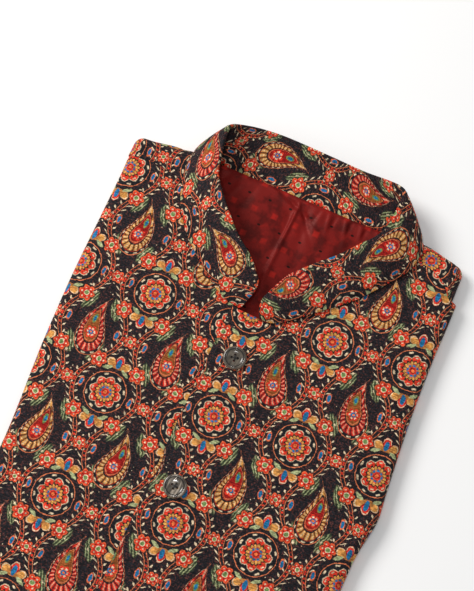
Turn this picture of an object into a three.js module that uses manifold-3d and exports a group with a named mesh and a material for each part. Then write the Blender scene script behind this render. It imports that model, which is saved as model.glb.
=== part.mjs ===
// Sleeveless nehru jacket lying face up, both sides folded behind it.
// Millimetres. +Z is up from the table, +Y runs from the hem to the collar, X = 0 is the button line.
// Heights along the body are measured from the point of the neck opening, which is near y = 0.
import * as THREE from 'three';
import { mergeVertices } from 'three/addons/utils/BufferGeometryUtils.js';
import Module from 'manifold-3d';

const wasm = await Module();
wasm.setup();

// Cloth and stack.
const CLOTH = 1.5; // a front: face cloth and interlining
const LINING = 1.2;
const GAP = 0.3; // between pieces at seams and laps
const ROLL = 6.5; // outer radius of the side and shoulder folds
const CROWN = 2.5; // the stack is this much fuller in the middle than at its folds
const CROWN_REACH = 75;
const HEM_Y = -607;
const CORNER_ROUND = 9;

// Where the two sides are folded back, and how wide the jacket is there.
const FOLDS = [
  { y: -700, left: -131, right: 145 },
  { y: -480, left: -131, right: 145 },
  { y: -280, left: -132, right: 143.5 },
  { y: -175, left: -134, right: 142 },
  { y: -148, left: -136, right: 142.6 },
  { y: -118, left: -139, right: 147 },
  { y: -95, left: -141, right: 144.8 },
  { y: -40, left: -144, right: 140.2 },
  { y: 10, left: -144.8, right: 138 },
  { y: 52, left: -145.4, right: 137.8 },
  { y: 59, left: -145.8, right: 137.2 },
  { y: 65, left: -146.2, right: 134 },
  { y: 82, left: -147, right: 133.2 },
  { y: 110, left: -147, right: 132.4 },
];

// The shoulder fold and the back neck, the far end of the folded stack.
const SHOULDER_LINE = [
  { x: -160, y: 85.5 },
  { x: -120, y: 88.5 },
  { x: -97, y: 92.5 },
  { x: -50, y: 93.5 },
  { x: 50, y: 93.5 },
  { x: 95, y: 96 },
  { x: 125, y: 92.5 },
  { x: 160, y: 88 },
];

// Front edges. The wearer's left front, on the right here, laps over the other by men's closing.
const LAP = 19; // each front reaches this far past the button line
const LAP_LIFT = CLOTH + GAP;
const LAP_SPREAD = 30; // the lapping front settles back to the stack over this width
const HEM_CORNER = 26; // round front corners at the hem

// Neck edge of each front, from the lap to the shoulder seam.
const NECK_RIGHT_SIDE = [
  { x: -19, y: -14.3 }, { x: 0, y: -14.6 }, { x: 10, y: -15.4 }, { x: 20, y: -10.8 }, { x: 34.3, y: 1.8 },
  { x: 49.7, y: 16.1 }, { x: 63.5, y: 28.7 }, { x: 76, y: 44.3 }, { x: 86.6, y: 58.7 }, { x: 93, y: 69 },
  { x: 95.5, y: 79 },
];
const NECK_LEFT_SIDE = [
  { x: 19, y: -17.5 }, { x: 0, y: -16 }, { x: -12, y: -14 }, { x: -25.5, y: -10.2 }, { x: -37.8, y: -3.8 },
  { x: -57, y: 10.4 }, { x: -71, y: 22 }, { x: -84, y: 37 }, { x: -91.5, y: 50 }, { x: -96, y: 61.5 },
];

// Forward shoulder seams: the back comes over the shoulder and is sewn to the front here.
const SEAM_RIGHT_SIDE = [
  { x: 95.5, y: 79 }, { x: 110, y: 77.4 }, { x: 122.4, y: 71 }, { x: 130, y: 60 },
];
const SEAM_LEFT_SIDE = [
  { x: -96, y: 61.5 }, { x: -102.6, y: 65.3 }, { x: -118, y: 68 }, { x: -129, y: 69.3 }, { x: -138, y: 67.5 },
];

// Edge of each folded-back side on the underside, given for the right; the left mirrors it.
const SIDE_SEAM_X = 29;
const ARMHOLE = [
  { x: SIDE_SEAM_X, y: -150 }, { x: 48, y: -143 }, { x: 70, y: -122 }, { x: 88, y: -88 }, { x: 97, y: -40 },
  { x: 100, y: 20 },
];
const ARMHOLE_TOP_X = 99;

// Standing collar, one row a section from the wearer's right end round the back to the left end:
// where the middle of the band meets the neck, and where its top edge is.
const COLLAR = [
  { sx: -12.4, sy: -12.6, sz: 17.15, tx: -3, ty: 12, tz: 26.3 },
  { sx: -18, sy: -11.6, sz: 17.1, tx: -9, ty: 12.6, tz: 28 },
  { sx: -25.5, sy: -9.6, sz: 16.95, tx: -14.5, ty: 19, tz: 30.5 },
  { sx: -38, sy: -3.8, sz: 16.95, tx: -20.5, ty: 24.5, tz: 32.5 },
  { sx: -57, sy: 10.4, sz: 16.95, tx: -38, ty: 37.5, tz: 34.5 },
  { sx: -71, sy: 22, sz: 16.95, tx: -50, ty: 49.5, tz: 35.5 },
  { sx: -84, sy: 37, sz: 16.85, tx: -62, ty: 63, tz: 35.5 },
  { sx: -91.5, sy: 50, sz: 16.75, tx: -70, ty: 74, tz: 35 },
  { sx: -96.5, sy: 64, sz: 16.65, tx: -74.5, ty: 88, tz: 34 },
  { sx: -99, sy: 79, sz: 16.2, tx: -78, ty: 105, tz: 33 },
  { sx: -98.5, sy: 90, sz: 14.6, tx: -79, ty: 114.5, tz: 31.5 },
  { sx: -96, sy: 94.6, sz: 11, tx: -77.5, ty: 119, tz: 27.5 },
  { sx: -90, sy: 93.7, sz: 8, tx: -72, ty: 123.2, tz: 23.5 },
  { sx: -76, sy: 93.1, sz: 6.8, tx: -61, ty: 127, tz: 21 },
  { sx: -45, sy: 92.7, sz: 6.6, tx: -40, ty: 129.8, tz: 19.5 },
  { sx: 0, sy: 92.5, sz: 6.6, tx: 0, ty: 129.6, tz: 19 },
  { sx: 42, sy: 92.7, sz: 6.6, tx: 32, ty: 128.6, tz: 19.5 },
  { sx: 72, sy: 94.1, sz: 6.9, tx: 50, ty: 129, tz: 21 },
  { sx: 86, sy: 95.7, sz: 8.2, tx: 59.5, ty: 128, tz: 23 },
  { sx: 92.5, sy: 96.8, sz: 11.5, tx: 64.5, ty: 124.5, tz: 26 },
  { sx: 95, sy: 92.5, sz: 15, tx: 66, ty: 118.5, tz: 28.5 },
  { sx: 95.8, sy: 82, sz: 16.6, tx: 66, ty: 107, tz: 29 },
  { sx: 93.6, sy: 70, sz: 16.75, tx: 65, ty: 94, tz: 28 },
  { sx: 86.6, sy: 58.7, sz: 16.85, tx: 60.5, ty: 81.5, tz: 27 },
  { sx: 76, sy: 44.3, sz: 16.95, tx: 51, ty: 70, tz: 26 },
  { sx: 63.5, sy: 28.7, sz: 17.05, tx: 38.5, ty: 54.5, tz: 25.5 },
  { sx: 49.7, sy: 16.1, sz: 17.55, tx: 25.5, ty: 41.5, tz: 25 },
  { sx: 34.3, sy: 1.8, sz: 18.35, tx: 11, ty: 25, tz: 24.5 },
  { sx: 21, sy: -10, sz: 18.95, tx: 5, ty: 12.5, tz: 24 },
  { sx: 12, sy: -14.2, sz: 19.05, tx: 1, ty: 3, tz: 23.3 },
  { sx: 4.2, sy: -14.4, sz: 19.05, tx: -2.5, ty: -2.5, tz: 23 },
];
const BAND = 1.1; // each of the collar's two walls
const BAND_GAP = 0.6; // between them, where the stiffening lies
const BAND_BULGE = 1.8;
const COLLAR_CORNER = { along: 20, drop: 0.72 }; // the round end: length along the band, share of its height

// Lining of the back, seen through the neck opening.
const NECK_CENTRE = { x: 0, y: 45 };
const LINING_TUCK = 7; // how far it runs under the fronts
const LINING_DIP = { edge: 0.5, middle: 3.4 };
const LINING_BACK_Y = 89.5;

// Buttons.
const BUTTON_TOP_Y = -50.5;
const BUTTON_SPACING = 107;
const BUTTON_RADIUS = 9.1;
const BUTTON_HEIGHT = 3.6;
const BUTTON_HOLE = { radius: 0.95, reach: 2.3 };
const BUTTON_TURNS = [-33, 34, 12, -21, 50]; // degrees by which each button's four holes are turned

const FAR = 400;

// Smooth curve through a table of rows, by one column.
function follow(rows, at, along, column) {
  const last = rows.length - 1;
  const k = Math.min(Math.max(rows.findIndex((row) => row[along] > at) - 1, 0), last - 1);
  const index = at >= rows[last][along] ? last - 1 : k;
  const [a, b] = [rows[index], rows[index + 1]];
  const before = rows[Math.max(index - 1, 0)];
  const after = rows[Math.min(index + 2, last)];
  const span = b[along] - a[along];
  const s = Math.min(Math.max((at - a[along]) / span, 0), 1);
  const slopeA = ((b[column] - before[column]) / (b[along] - before[along])) * span;
  const slopeB = ((after[column] - a[column]) / (after[along] - a[along])) * span;
  const s2 = s * s;
  const s3 = s2 * s;
  return (2 * s3 - 3 * s2 + 1) * a[column] + (s3 - 2 * s2 + s) * slopeA
    + (3 * s2 - 2 * s3) * b[column] + (s3 - s2) * slopeB;
}

const ease = (value) => THREE.MathUtils.smoothstep(value, 0, 1);

// Share of a round fold's radius that is left at a distance inside its edge.
function roundOff(distance, radius) {
  const inside = Math.min(Math.max(distance, 0), radius);
  return Math.sqrt(Math.max(1 - (1 - inside / radius) ** 2, 0));
}

// Fold positions at a height along the body, drawn in at the far corners.
function foldsAt(y, fromShoulder) {
  const corner = CORNER_ROUND * (1 - roundOff(fromShoulder + 0.5, CORNER_ROUND));
  return {
    left: follow(FOLDS, y, 'y', 'left') + corner,
    right: follow(FOLDS, y, 'y', 'right') - corner,
  };
}

// Lift of the lapping front over the other.
const lapLift = (x) => LAP_LIFT * (1 - ease((x - LAP - 1) / LAP_SPREAD));

// Top and bottom of the folded stack at a point, drawn in by an inset.
function stackHeights(x, y, fromShoulder, inset, lapping) {
  const folds = foldsAt(y, fromShoulder);
  const radius = ROLL - inset;
  const fromFold = Math.min(x - folds.left, folds.right - x);
  const side = roundOff(fromFold - inset, radius);
  const end = roundOff(fromShoulder - inset, radius);
  const crown = CROWN * ease(fromFold / CROWN_REACH) * (0.55 + 0.45 * ease(fromShoulder / CROWN_REACH));
  const lift = lapping ? lapLift(x) : 0;
  return {
    top: ROLL + (radius * side + crown + lift) * end,
    bottom: ROLL - radius * side * end,
  };
}

const shoulderAt = (x) => follow(SHOULDER_LINE, x, 'x', 'y');

function topOfStack(x, y, inset = 0, lapping = false) {
  return stackHeights(x, y, shoulderAt(x) - y, inset, lapping).top;
}

// Closed solid from rows of top and bottom points that meet along both sides.
function closedPillow(rows) {
  const width = rows[0].length;
  const positions = [];
  const topIndex = [];
  const bottomIndex = [];
  for (const row of rows) {
    const tops = [];
    const bottoms = [];
    row.forEach((point, i) => {
      tops.push(positions.length / 3);
      positions.push(point.x, point.y, point.top);
      const atSide = i === 0 || i === width - 1;
      bottoms.push(atSide ? tops[i] : positions.length / 3);
      if (!atSide) positions.push(point.x, point.y, point.bottom);
    });
    topIndex.push(tops);
    bottomIndex.push(bottoms);
  }
  const faces = [];
  const quad = (a, b, c, d) => {
    if (a !== b && b !== c && a !== c) faces.push(a, b, c);
    if (a !== c && c !== d && a !== d) faces.push(a, c, d);
  };
  const last = rows.length - 1;
  for (let j = 0; j < last; j += 1) {
    for (let i = 0; i < width - 1; i += 1) {
      quad(topIndex[j][i], topIndex[j][i + 1], topIndex[j + 1][i + 1], topIndex[j + 1][i]);
      quad(bottomIndex[j][i + 1], bottomIndex[j][i], bottomIndex[j + 1][i], bottomIndex[j + 1][i + 1]);
    }
  }
  for (let i = 0; i < width - 1; i += 1) {
    quad(bottomIndex[0][i], bottomIndex[0][i + 1], topIndex[0][i + 1], topIndex[0][i]);
    quad(topIndex[last][i], topIndex[last][i + 1], bottomIndex[last][i + 1], bottomIndex[last][i]);
  }
  return solidFrom(positions, faces);
}

function solidFrom(positions, faces) {
  return new wasm.Manifold(new wasm.Mesh({
    numProp: 3,
    vertProperties: new Float32Array(positions),
    triVerts: new Uint32Array(faces),
  }));
}

function solidFromGeometry(geometry) {
  const bare = geometry.clone();
  bare.deleteAttribute('normal');
  bare.deleteAttribute('uv');
  const merged = mergeVertices(bare, 1e-4);
  return solidFrom(merged.attributes.position.array, merged.index.array);
}

function geometryFromSolid(solid) {
  const mesh = solid.getMesh();
  const geometry = new THREE.BufferGeometry();
  geometry.setAttribute('position', new THREE.BufferAttribute(new Float32Array(mesh.vertProperties), 3));
  geometry.setIndex(new THREE.BufferAttribute(new Uint32Array(mesh.triVerts), 1));
  geometry.computeVertexNormals();
  return geometry;
}

// Distances from the shoulder line of the sections along the body, and steps across it.
const END_STEPS = [0.35, 1.6, 3.6, 6.5];
const BODY_STEPS = [11, 17, 23, 28, 34, 45, 62, 90, 125, 160, 185, 200, 212, 226, 245, 290, 380, 520];
const FOLD_ARC_STEPS = 5;
const ACROSS_STEPS = 16;

// The folded stack as one solid: its outer form drawn in by an inset, with the hem end moved by hemShift.
function stackSolid(inset, hemShift, lapping) {
  const radius = ROLL - inset;
  const across = [];
  for (let k = 0; k < FOLD_ARC_STEPS; k += 1) {
    across.push({ side: -1, arc: radius * (1 - Math.cos((k / FOLD_ARC_STEPS) * (Math.PI / 2))) });
  }
  for (let k = 0; k <= ACROSS_STEPS; k += 1) across.push({ side: 0, share: k / ACROSS_STEPS });
  for (let k = FOLD_ARC_STEPS - 1; k >= 0; k -= 1) {
    across.push({ side: 1, arc: radius * (1 - Math.cos((k / FOLD_ARC_STEPS) * (Math.PI / 2))) });
  }
  const distances = [...END_STEPS.map((d) => d + inset), ...BODY_STEPS];
  const hem = HEM_Y + hemShift;
  const rows = [];
  for (let j = distances.length; j >= 0; j -= 1) {
    const row = across.map((step, i) => {
      const nominalX = -140 + (280 * i) / (across.length - 1);
      const shoulder = shoulderAt(nominalX);
      const y = j === distances.length ? hem : shoulder - distances[j];
      const fromShoulder = shoulder - y;
      const folds = foldsAt(y, fromShoulder);
      const left = folds.left + inset;
      const right = folds.right - inset;
      let x = left + radius + (right - left - 2 * radius) * (step.share ?? 0);
      if (step.side < 0) x = left + step.arc;
      if (step.side > 0) x = right - step.arc;
      return { x, y, ...stackHeights(x, y, fromShoulder, inset, lapping) };
    });
    rows.push(row);
  }
  return closedPillow(rows);
}

// Upright block over a plan outline.
function prism(points, low, high) {
  const shape = new THREE.Shape(points.map(({ x, y }) => new THREE.Vector2(x, y)));
  const geometry = new THREE.ExtrudeGeometry(shape, { depth: high - low, bevelEnabled: false });
  geometry.translate(0, 0, low);
  return solidFromGeometry(geometry);
}

// Points along a smooth curve through plan points.
function curved(points, count) {
  const curve = new THREE.CatmullRomCurve3(points.map(({ x, y }) => new THREE.Vector3(x, y, 0)), false, 'centripetal');
  return curve.getSpacedPoints(count).map(({ x, y }) => ({ x, y }));
}

const moved = (points, dx, dy) => points.map(({ x, y }) => ({ x: x + dx, y: y + dy }));
const mirrored = (points) => points.map(({ x, y }) => ({ x: -x, y }));

// Round front corner at the hem, from the hem up to the front edge.
function hemCorner(edgeX, inward) {
  const points = [];
  for (let k = 0; k <= 6; k += 1) {
    const angle = (k / 6) * (Math.PI / 2);
    points.push({
      x: edgeX + inward * HEM_CORNER * (1 - Math.sin(angle)),
      y: HEM_Y + HEM_CORNER * (1 - Math.cos(angle)),
    });
  }
  return points;
}

function armholeAt(side, topY) {
  const points = [...ARMHOLE, { x: ARMHOLE_TOP_X, y: topY }];
  return side > 0 ? points : mirrored(points);
}

// One front: the shell of the stack, less all that lies past its edges, above and below.
function frontPiece(shell, side, neck, seam) {
  const neckLine = curved(neck, 30);
  const seamLine = curved(seam, 8).slice(1);
  const above = [
    { x: side * 40, y: HEM_Y - 20 },
    ...hemCorner(-side * LAP, side),
    ...neckLine,
    ...seamLine,
    { x: side * FAR, y: seamLine.at(-1).y },
    { x: side * FAR, y: FAR },
    { x: -side * FAR, y: FAR },
    { x: -side * FAR, y: HEM_Y - 20 },
  ];
  const armhole = curved(armholeAt(side, seamLine.at(-1).y), 18);
  const below = [
    { x: side * SIDE_SEAM_X, y: HEM_Y - 20 },
    ...armhole,
    { x: side * FAR, y: seamLine.at(-1).y },
    { x: side * FAR, y: FAR },
    { x: -side * FAR, y: FAR },
    { x: -side * FAR, y: HEM_Y - 20 },
  ];
  const top = prism(side > 0 ? above : above.reverse(), ROLL, FAR / 4);
  const bottom = prism(side > 0 ? below : below.reverse(), -FAR / 4, ROLL);
  return shell.subtract(top).subtract(bottom);
}

// The part of the back that comes over one shoulder to the forward seam.
function shoulderPiece(shell, side, neck, seam) {
  const seamLine = moved(curved(seam, 8), 0, GAP);
  const neckPoint = neck.at(-1);
  const block = (inner) => [
    ...inner,
    { x: side * FAR, y: seamLine.at(-1).y },
    { x: side * FAR, y: FAR },
    { x: inner[0].x, y: FAR },
  ];
  const above = block([{ x: neckPoint.x, y: seamLine[0].y }, ...seamLine.slice(1)]);
  const below = block([{ x: side * ARMHOLE_TOP_X, y: seamLine.at(-1).y }]);
  return shell.intersect(prism(above, ROLL, FAR / 4).add(prism(below, -FAR / 4, ROLL)));
}

// Collar band. The share runs round the neck, the rise from the seam to the top edge.
const seamCurve = new THREE.CatmullRomCurve3(COLLAR.map((row) => new THREE.Vector3(row.sx, row.sy, row.sz)));
const edgeCurve = new THREE.CatmullRomCurve3(COLLAR.map((row) => new THREE.Vector3(row.tx, row.ty, row.tz)));
const BAND_STEPS = 2 * (COLLAR.length - 1);
const BAND_END_SHARES = [0, 0.003, 0.009];
const BAND_SHARES = [
  ...BAND_END_SHARES,
  ...Array.from({ length: BAND_STEPS - 1 }, (_, k) => (k + 1) / BAND_STEPS),
  ...BAND_END_SHARES.map((share) => 1 - share).reverse(),
];
const BAND_STATIONS = BAND_SHARES.length - 1;
const BAND_RISES = [0, 0.25, 0.5, 0.75, 1];
const seamLength = seamCurve.getLength();

function bandHeightShare(share) {
  const fromEnd = Math.min(share, 1 - share) * seamLength * 1.15;
  const left = 1 - roundOff(fromEnd, COLLAR_CORNER.along);
  return 1 - COLLAR_CORNER.drop * left;
}

const bandPoint = (share, rise) => seamCurve.getPoint(share).lerp(edgeCurve.getPoint(share), rise);

// Outward from the neck.
function bandNormal(share, rise) {
  const step = 0.004;
  const along = bandPoint(Math.min(share + step, 1), rise).sub(bandPoint(Math.max(share - step, 0), rise));
  const up = edgeCurve.getPoint(share).sub(seamCurve.getPoint(share));
  return up.cross(along).normalize();
}

// One wall of the collar, between two distances outward from the band's middle surface.
function collarWall(near, far) {
  const positions = [];
  const columns = BAND_RISES.length;
  for (const offset of [near, far]) {
    for (let j = 0; j <= BAND_STATIONS; j += 1) {
      const share = BAND_SHARES[j];
      for (const step of BAND_RISES) {
        const rise = step * bandHeightShare(share);
        const bulge = BAND_BULGE * 4 * rise * (1 - rise);
        const point = bandPoint(share, rise).addScaledVector(bandNormal(share, rise), offset + bulge);
        positions.push(point.x, point.y, point.z);
      }
    }
  }
  const perSide = (BAND_STATIONS + 1) * columns;
  const at = (side, j, i) => side * perSide + j * columns + i;
  const faces = [];
  const quad = (a, b, c, d) => faces.push(a, b, c, a, c, d);
  for (let j = 0; j < BAND_STATIONS; j += 1) {
    for (let i = 0; i < columns - 1; i += 1) {
      quad(at(0, j, i), at(0, j + 1, i), at(0, j + 1, i + 1), at(0, j, i + 1));
      quad(at(1, j, i + 1), at(1, j + 1, i + 1), at(1, j + 1, i), at(1, j, i));
    }
    quad(at(1, j, 0), at(1, j + 1, 0), at(0, j + 1, 0), at(0, j, 0));
    quad(at(0, j, columns - 1), at(0, j + 1, columns - 1), at(1, j + 1, columns - 1), at(1, j, columns - 1));
  }
  for (let i = 0; i < columns - 1; i += 1) {
    quad(at(0, 0, i + 1), at(1, 0, i + 1), at(1, 0, i), at(0, 0, i));
    quad(at(0, BAND_STATIONS, i), at(1, BAND_STATIONS, i), at(1, BAND_STATIONS, i + 1), at(0, BAND_STATIONS, i + 1));
  }
  return solidFrom(positions, faces);
}

// Lining: rings from the middle of the neck opening out to its tucked edge.
const LINING_SPOKES = 36;
const LINING_RINGS = [0.3, 0.6, 0.85, 1];

function liningOutline(extra) {
  const points = [];
  for (let k = 0; k < LINING_SPOKES; k += 1) {
    const seam = seamCurve.getPointAt((k + 0.5) / LINING_SPOKES);
    const dx = seam.x - NECK_CENTRE.x;
    const dy = seam.y - NECK_CENTRE.y;
    const reach = 1 + (LINING_TUCK + extra) / Math.hypot(dx, dy);
    points.push({
      x: NECK_CENTRE.x + dx * reach,
      y: Math.min(NECK_CENTRE.y + dy * reach, LINING_BACK_Y + extra),
    });
  }
  return points;
}

function liningSolid(extra, topShift, thickness) {
  const outline = liningOutline(extra);
  const place = (point, ring) => {
    const x = NECK_CENTRE.x + (point.x - NECK_CENTRE.x) * ring;
    const y = NECK_CENTRE.y + (point.y - NECK_CENTRE.y) * ring;
    const inner = Math.min(ring, 1);
    const dip = LINING_DIP.edge + (LINING_DIP.middle - LINING_DIP.edge) * (1 - inner ** 4);
    const top = topOfStack(x, y, CLOTH + GAP) - dip;
    return { x, y, top: top + topShift, bottom: top + topShift - thickness };
  };
  const positions = [];
  const faces = [];
  const centre = place(outline[0], 0);
  positions.push(centre.x, centre.y, centre.top, centre.x, centre.y, centre.bottom);
  for (const ring of LINING_RINGS) {
    for (const point of outline) {
      const p = place(point, ring);
      positions.push(p.x, p.y, p.top, p.x, p.y, p.bottom);
    }
  }
  const at = (ring, spoke, low) => 2 + (ring * LINING_SPOKES + (spoke % LINING_SPOKES)) * 2 + low;
  const lastRing = LINING_RINGS.length - 1;
  for (let k = 0; k < LINING_SPOKES; k += 1) {
    faces.push(0, at(0, k + 1, 0), at(0, k, 0), 1, at(0, k, 1), at(0, k + 1, 1));
    for (let ring = 0; ring < lastRing; ring += 1) {
      faces.push(at(ring, k, 0), at(ring, k + 1, 0), at(ring + 1, k + 1, 0));
      faces.push(at(ring, k, 0), at(ring + 1, k + 1, 0), at(ring + 1, k, 0));
      faces.push(at(ring, k + 1, 1), at(ring, k, 1), at(ring + 1, k + 1, 1));
      faces.push(at(ring, k, 1), at(ring + 1, k, 1), at(ring + 1, k + 1, 1));
    }
    faces.push(at(lastRing, k, 0), at(lastRing, k + 1, 0), at(lastRing, k + 1, 1));
    faces.push(at(lastRing, k, 0), at(lastRing, k + 1, 1), at(lastRing, k, 1));
  }
  return solidFrom(positions, faces);
}

// Layers of the folded back show at the hem as grooves between rounded edges.
const HEM_GROOVES = [3.6, 5.6, 8.2, 10.6];
const HEM_GROOVE = { height: 0.5, depth: 5 };

function withHemLayers(solid) {
  return HEM_GROOVES.reduce((body, z) => {
    const groove = new THREE.BoxGeometry(FAR, 2 * HEM_GROOVE.depth, HEM_GROOVE.height);
    groove.translate(0, HEM_Y, z);
    return body.subtract(solidFromGeometry(groove));
  }, solid);
}

// Button: a dished disc with a round raised rim and four holes.
function buttonSolid(turn) {
  const profile = [
    [0, 0], [0.76, 0], [1, 0.3], [0.98, 0.75], [0.87, 1], [0.76, 0.92], [0.66, 0.66], [0, 0.56],
  ].map(([r, z]) => new THREE.Vector2(r * BUTTON_RADIUS, z * BUTTON_HEIGHT));
  const disc = new THREE.LatheGeometry(profile, 20);
  disc.rotateX(Math.PI / 2);
  let solid = solidFromGeometry(disc);
  for (let k = 0; k < 4; k += 1) {
    const angle = THREE.MathUtils.degToRad(turn + 45 + 90 * k);
    const hole = new THREE.CylinderGeometry(BUTTON_HOLE.radius, BUTTON_HOLE.radius, 4 * BUTTON_HEIGHT, 6);
    hole.rotateX(Math.PI / 2);
    hole.translate(Math.cos(angle) * BUTTON_HOLE.reach, Math.sin(angle) * BUTTON_HOLE.reach, 0);
    solid = solid.subtract(solidFromGeometry(hole));
  }
  return solid;
}

const jacket = new THREE.Group();

function addPiece(name, solid, color, roughness, place = [0, 0, 0]) {
  const material = new THREE.MeshStandardMaterial({ color, roughness, metalness: 0 });
  const mesh = new THREE.Mesh(geometryFromSolid(solid), material);
  mesh.name = name;
  mesh.position.set(...place);
  jacket.add(mesh);
}

const PRINT_CLOTH = 0x35282a;
const LINING_RED = 0x7c2428;
const BUTTON_SMOKE = 0x2b2624;

const underShell = stackSolid(0, 0, false).subtract(stackSolid(CLOTH, -20, false));
const lapShell = stackSolid(0, 0, true).subtract(stackSolid(CLOTH, -20, true));
const layers = stackSolid(CLOTH + GAP, 1.5, false).subtract(liningSolid(GAP, 30, 30 + LINING + GAP));

addPiece('front_right', frontPiece(underShell, -1, NECK_LEFT_SIDE, SEAM_LEFT_SIDE), PRINT_CLOTH, 0.85);
addPiece('front_left', frontPiece(lapShell, 1, NECK_RIGHT_SIDE, SEAM_RIGHT_SIDE), PRINT_CLOTH, 0.85);
addPiece('back_shoulder_right', shoulderPiece(underShell, -1, NECK_LEFT_SIDE, SEAM_LEFT_SIDE), PRINT_CLOTH, 0.85);
addPiece('back_shoulder_left', shoulderPiece(lapShell, 1, NECK_RIGHT_SIDE, SEAM_RIGHT_SIDE), PRINT_CLOTH, 0.85);
addPiece('back_and_folded_layers', withHemLayers(layers), PRINT_CLOTH, 0.85);
addPiece('back_lining', liningSolid(0, 0, LINING), LINING_RED, 0.45);
addPiece('collar_outer', collarWall(BAND_GAP / 2, BAND_GAP / 2 + BAND), PRINT_CLOTH, 0.8);
addPiece('collar_inner', collarWall(-BAND_GAP / 2 - BAND, -BAND_GAP / 2), PRINT_CLOTH, 0.8);

BUTTON_TURNS.forEach((turn, k) => {
  const y = BUTTON_TOP_Y - k * BUTTON_SPACING;
  addPiece(`button_${k + 1}`, buttonSolid(turn), BUTTON_SMOKE, 0.3, [0, y, topOfStack(0, y, 0, true) + GAP]);
});

// The jacket stands with the middle of its underside at the origin.
const box = new THREE.Box3().setFromObject(jacket);
jacket.position.set(-(box.min.x + box.max.x) / 2, -(box.min.y + box.max.y) / 2, -box.min.z);

export default jacket;
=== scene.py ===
import math
from functools import partialmethod

import bmesh
import bpy
import numpy as np
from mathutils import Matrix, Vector


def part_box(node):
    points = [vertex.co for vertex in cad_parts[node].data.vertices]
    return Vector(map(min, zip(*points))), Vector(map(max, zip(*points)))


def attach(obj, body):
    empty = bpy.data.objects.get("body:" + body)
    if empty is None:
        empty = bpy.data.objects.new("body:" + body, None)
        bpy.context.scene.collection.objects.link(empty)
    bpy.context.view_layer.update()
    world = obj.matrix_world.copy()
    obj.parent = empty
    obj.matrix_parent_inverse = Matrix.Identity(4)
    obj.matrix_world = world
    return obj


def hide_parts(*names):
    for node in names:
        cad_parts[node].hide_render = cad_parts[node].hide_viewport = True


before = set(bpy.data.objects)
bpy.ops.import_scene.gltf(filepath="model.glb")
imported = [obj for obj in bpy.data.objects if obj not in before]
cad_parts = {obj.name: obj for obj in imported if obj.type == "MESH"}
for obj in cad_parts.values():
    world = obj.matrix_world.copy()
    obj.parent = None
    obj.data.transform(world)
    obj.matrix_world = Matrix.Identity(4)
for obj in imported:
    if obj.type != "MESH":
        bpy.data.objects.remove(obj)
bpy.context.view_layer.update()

# Sleeveless nehru jacket, face up, both sides folded behind it.
# Tables and sizes are in millimetres on the garment's own axes: X = 0 is the button line, Y runs from the
# hem to the collar with 0 near the point of the neck opening, and Z is up from the table.
MM = 0.001

# Cloth and folded stack, as in the solids.
CLOTH = 1.5
GAP = 0.3
ROLL = 6.5  # half of the stack's height, and the radius of its folds
CROWN = 2.5
CROWN_REACH = 75
HEM_Y = -607
CORNER_ROUND = 9
LAP = 19
LAP_LIFT = CLOTH + GAP
LAP_SPREAD = 30
HEM_CORNER = 26
BUTTON_TOP_Y = -50.5
BUTTON_RADIUS = 9.1
BUTTON_HEIGHT = 3.6
CLOTH_SHOWN = 1.3  # the dressed cloth is a little thinner than its solid
LAYERS_INSET = CLOTH + GAP


def table(columns, *rows):
    """A table with named columns, as one array a column."""
    return dict(zip(columns.split(), np.array(rows, float).T))


FOLDS = table(
    "y left right",
    (-700, -131, 145), (-480, -131, 145), (-280, -132, 143.5), (-175, -134, 142), (-148, -136, 142.6),
    (-118, -139, 147), (-95, -141, 144.8), (-40, -144, 140.2), (10, -144.8, 138), (52, -145.4, 137.8),
    (59, -145.8, 137.2), (65, -146.2, 134), (82, -147, 133.2), (110, -147, 132.4),
)
SHOULDER_LINE = table(
    "x y",
    (-160, 85.5), (-120, 88.5), (-97, 92.5), (-50, 93.5), (50, 93.5), (95, 96), (125, 92.5), (160, 88),
)
# The edges of each front are given outward from the button line, so that both sides read alike.
NECK_EDGE = {
    1: table(
        "x y",
        (-19, -14.3), (0, -14.6), (10, -15.4), (20, -10.8), (34.3, 1.8), (49.7, 16.1), (63.5, 28.7),
        (76, 44.3), (86.6, 58.7), (93, 69), (95.5, 79),
    ),
    -1: table(
        "x y",
        (-19, -17.5), (0, -16), (12, -14), (25.5, -10.2), (37.8, -3.8), (57, 10.4), (71, 22), (84, 37),
        (91.5, 50), (96, 61.5),
    ),
}
SHOULDER_SEAM = {
    1: table("x y", (95.5, 79), (110, 77.4), (122.4, 71), (130, 60)),
    -1: table("x y", (96, 61.5), (102.6, 65.3), (118, 68), (129, 69.3), (138, 67.5)),
}
ARMHOLE = table("x y", (29, -150), (48, -143), (70, -122), (88, -88), (96.5, -40), (99, 20), (100, 70))
# The folds step in where each front ends at its armhole and the shoulder begins.
FRONT_FOLD_TOP = {1: 56, -1: 62}
SHOULDER_FOLD_START = {1: 69, -1: 76}

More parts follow.
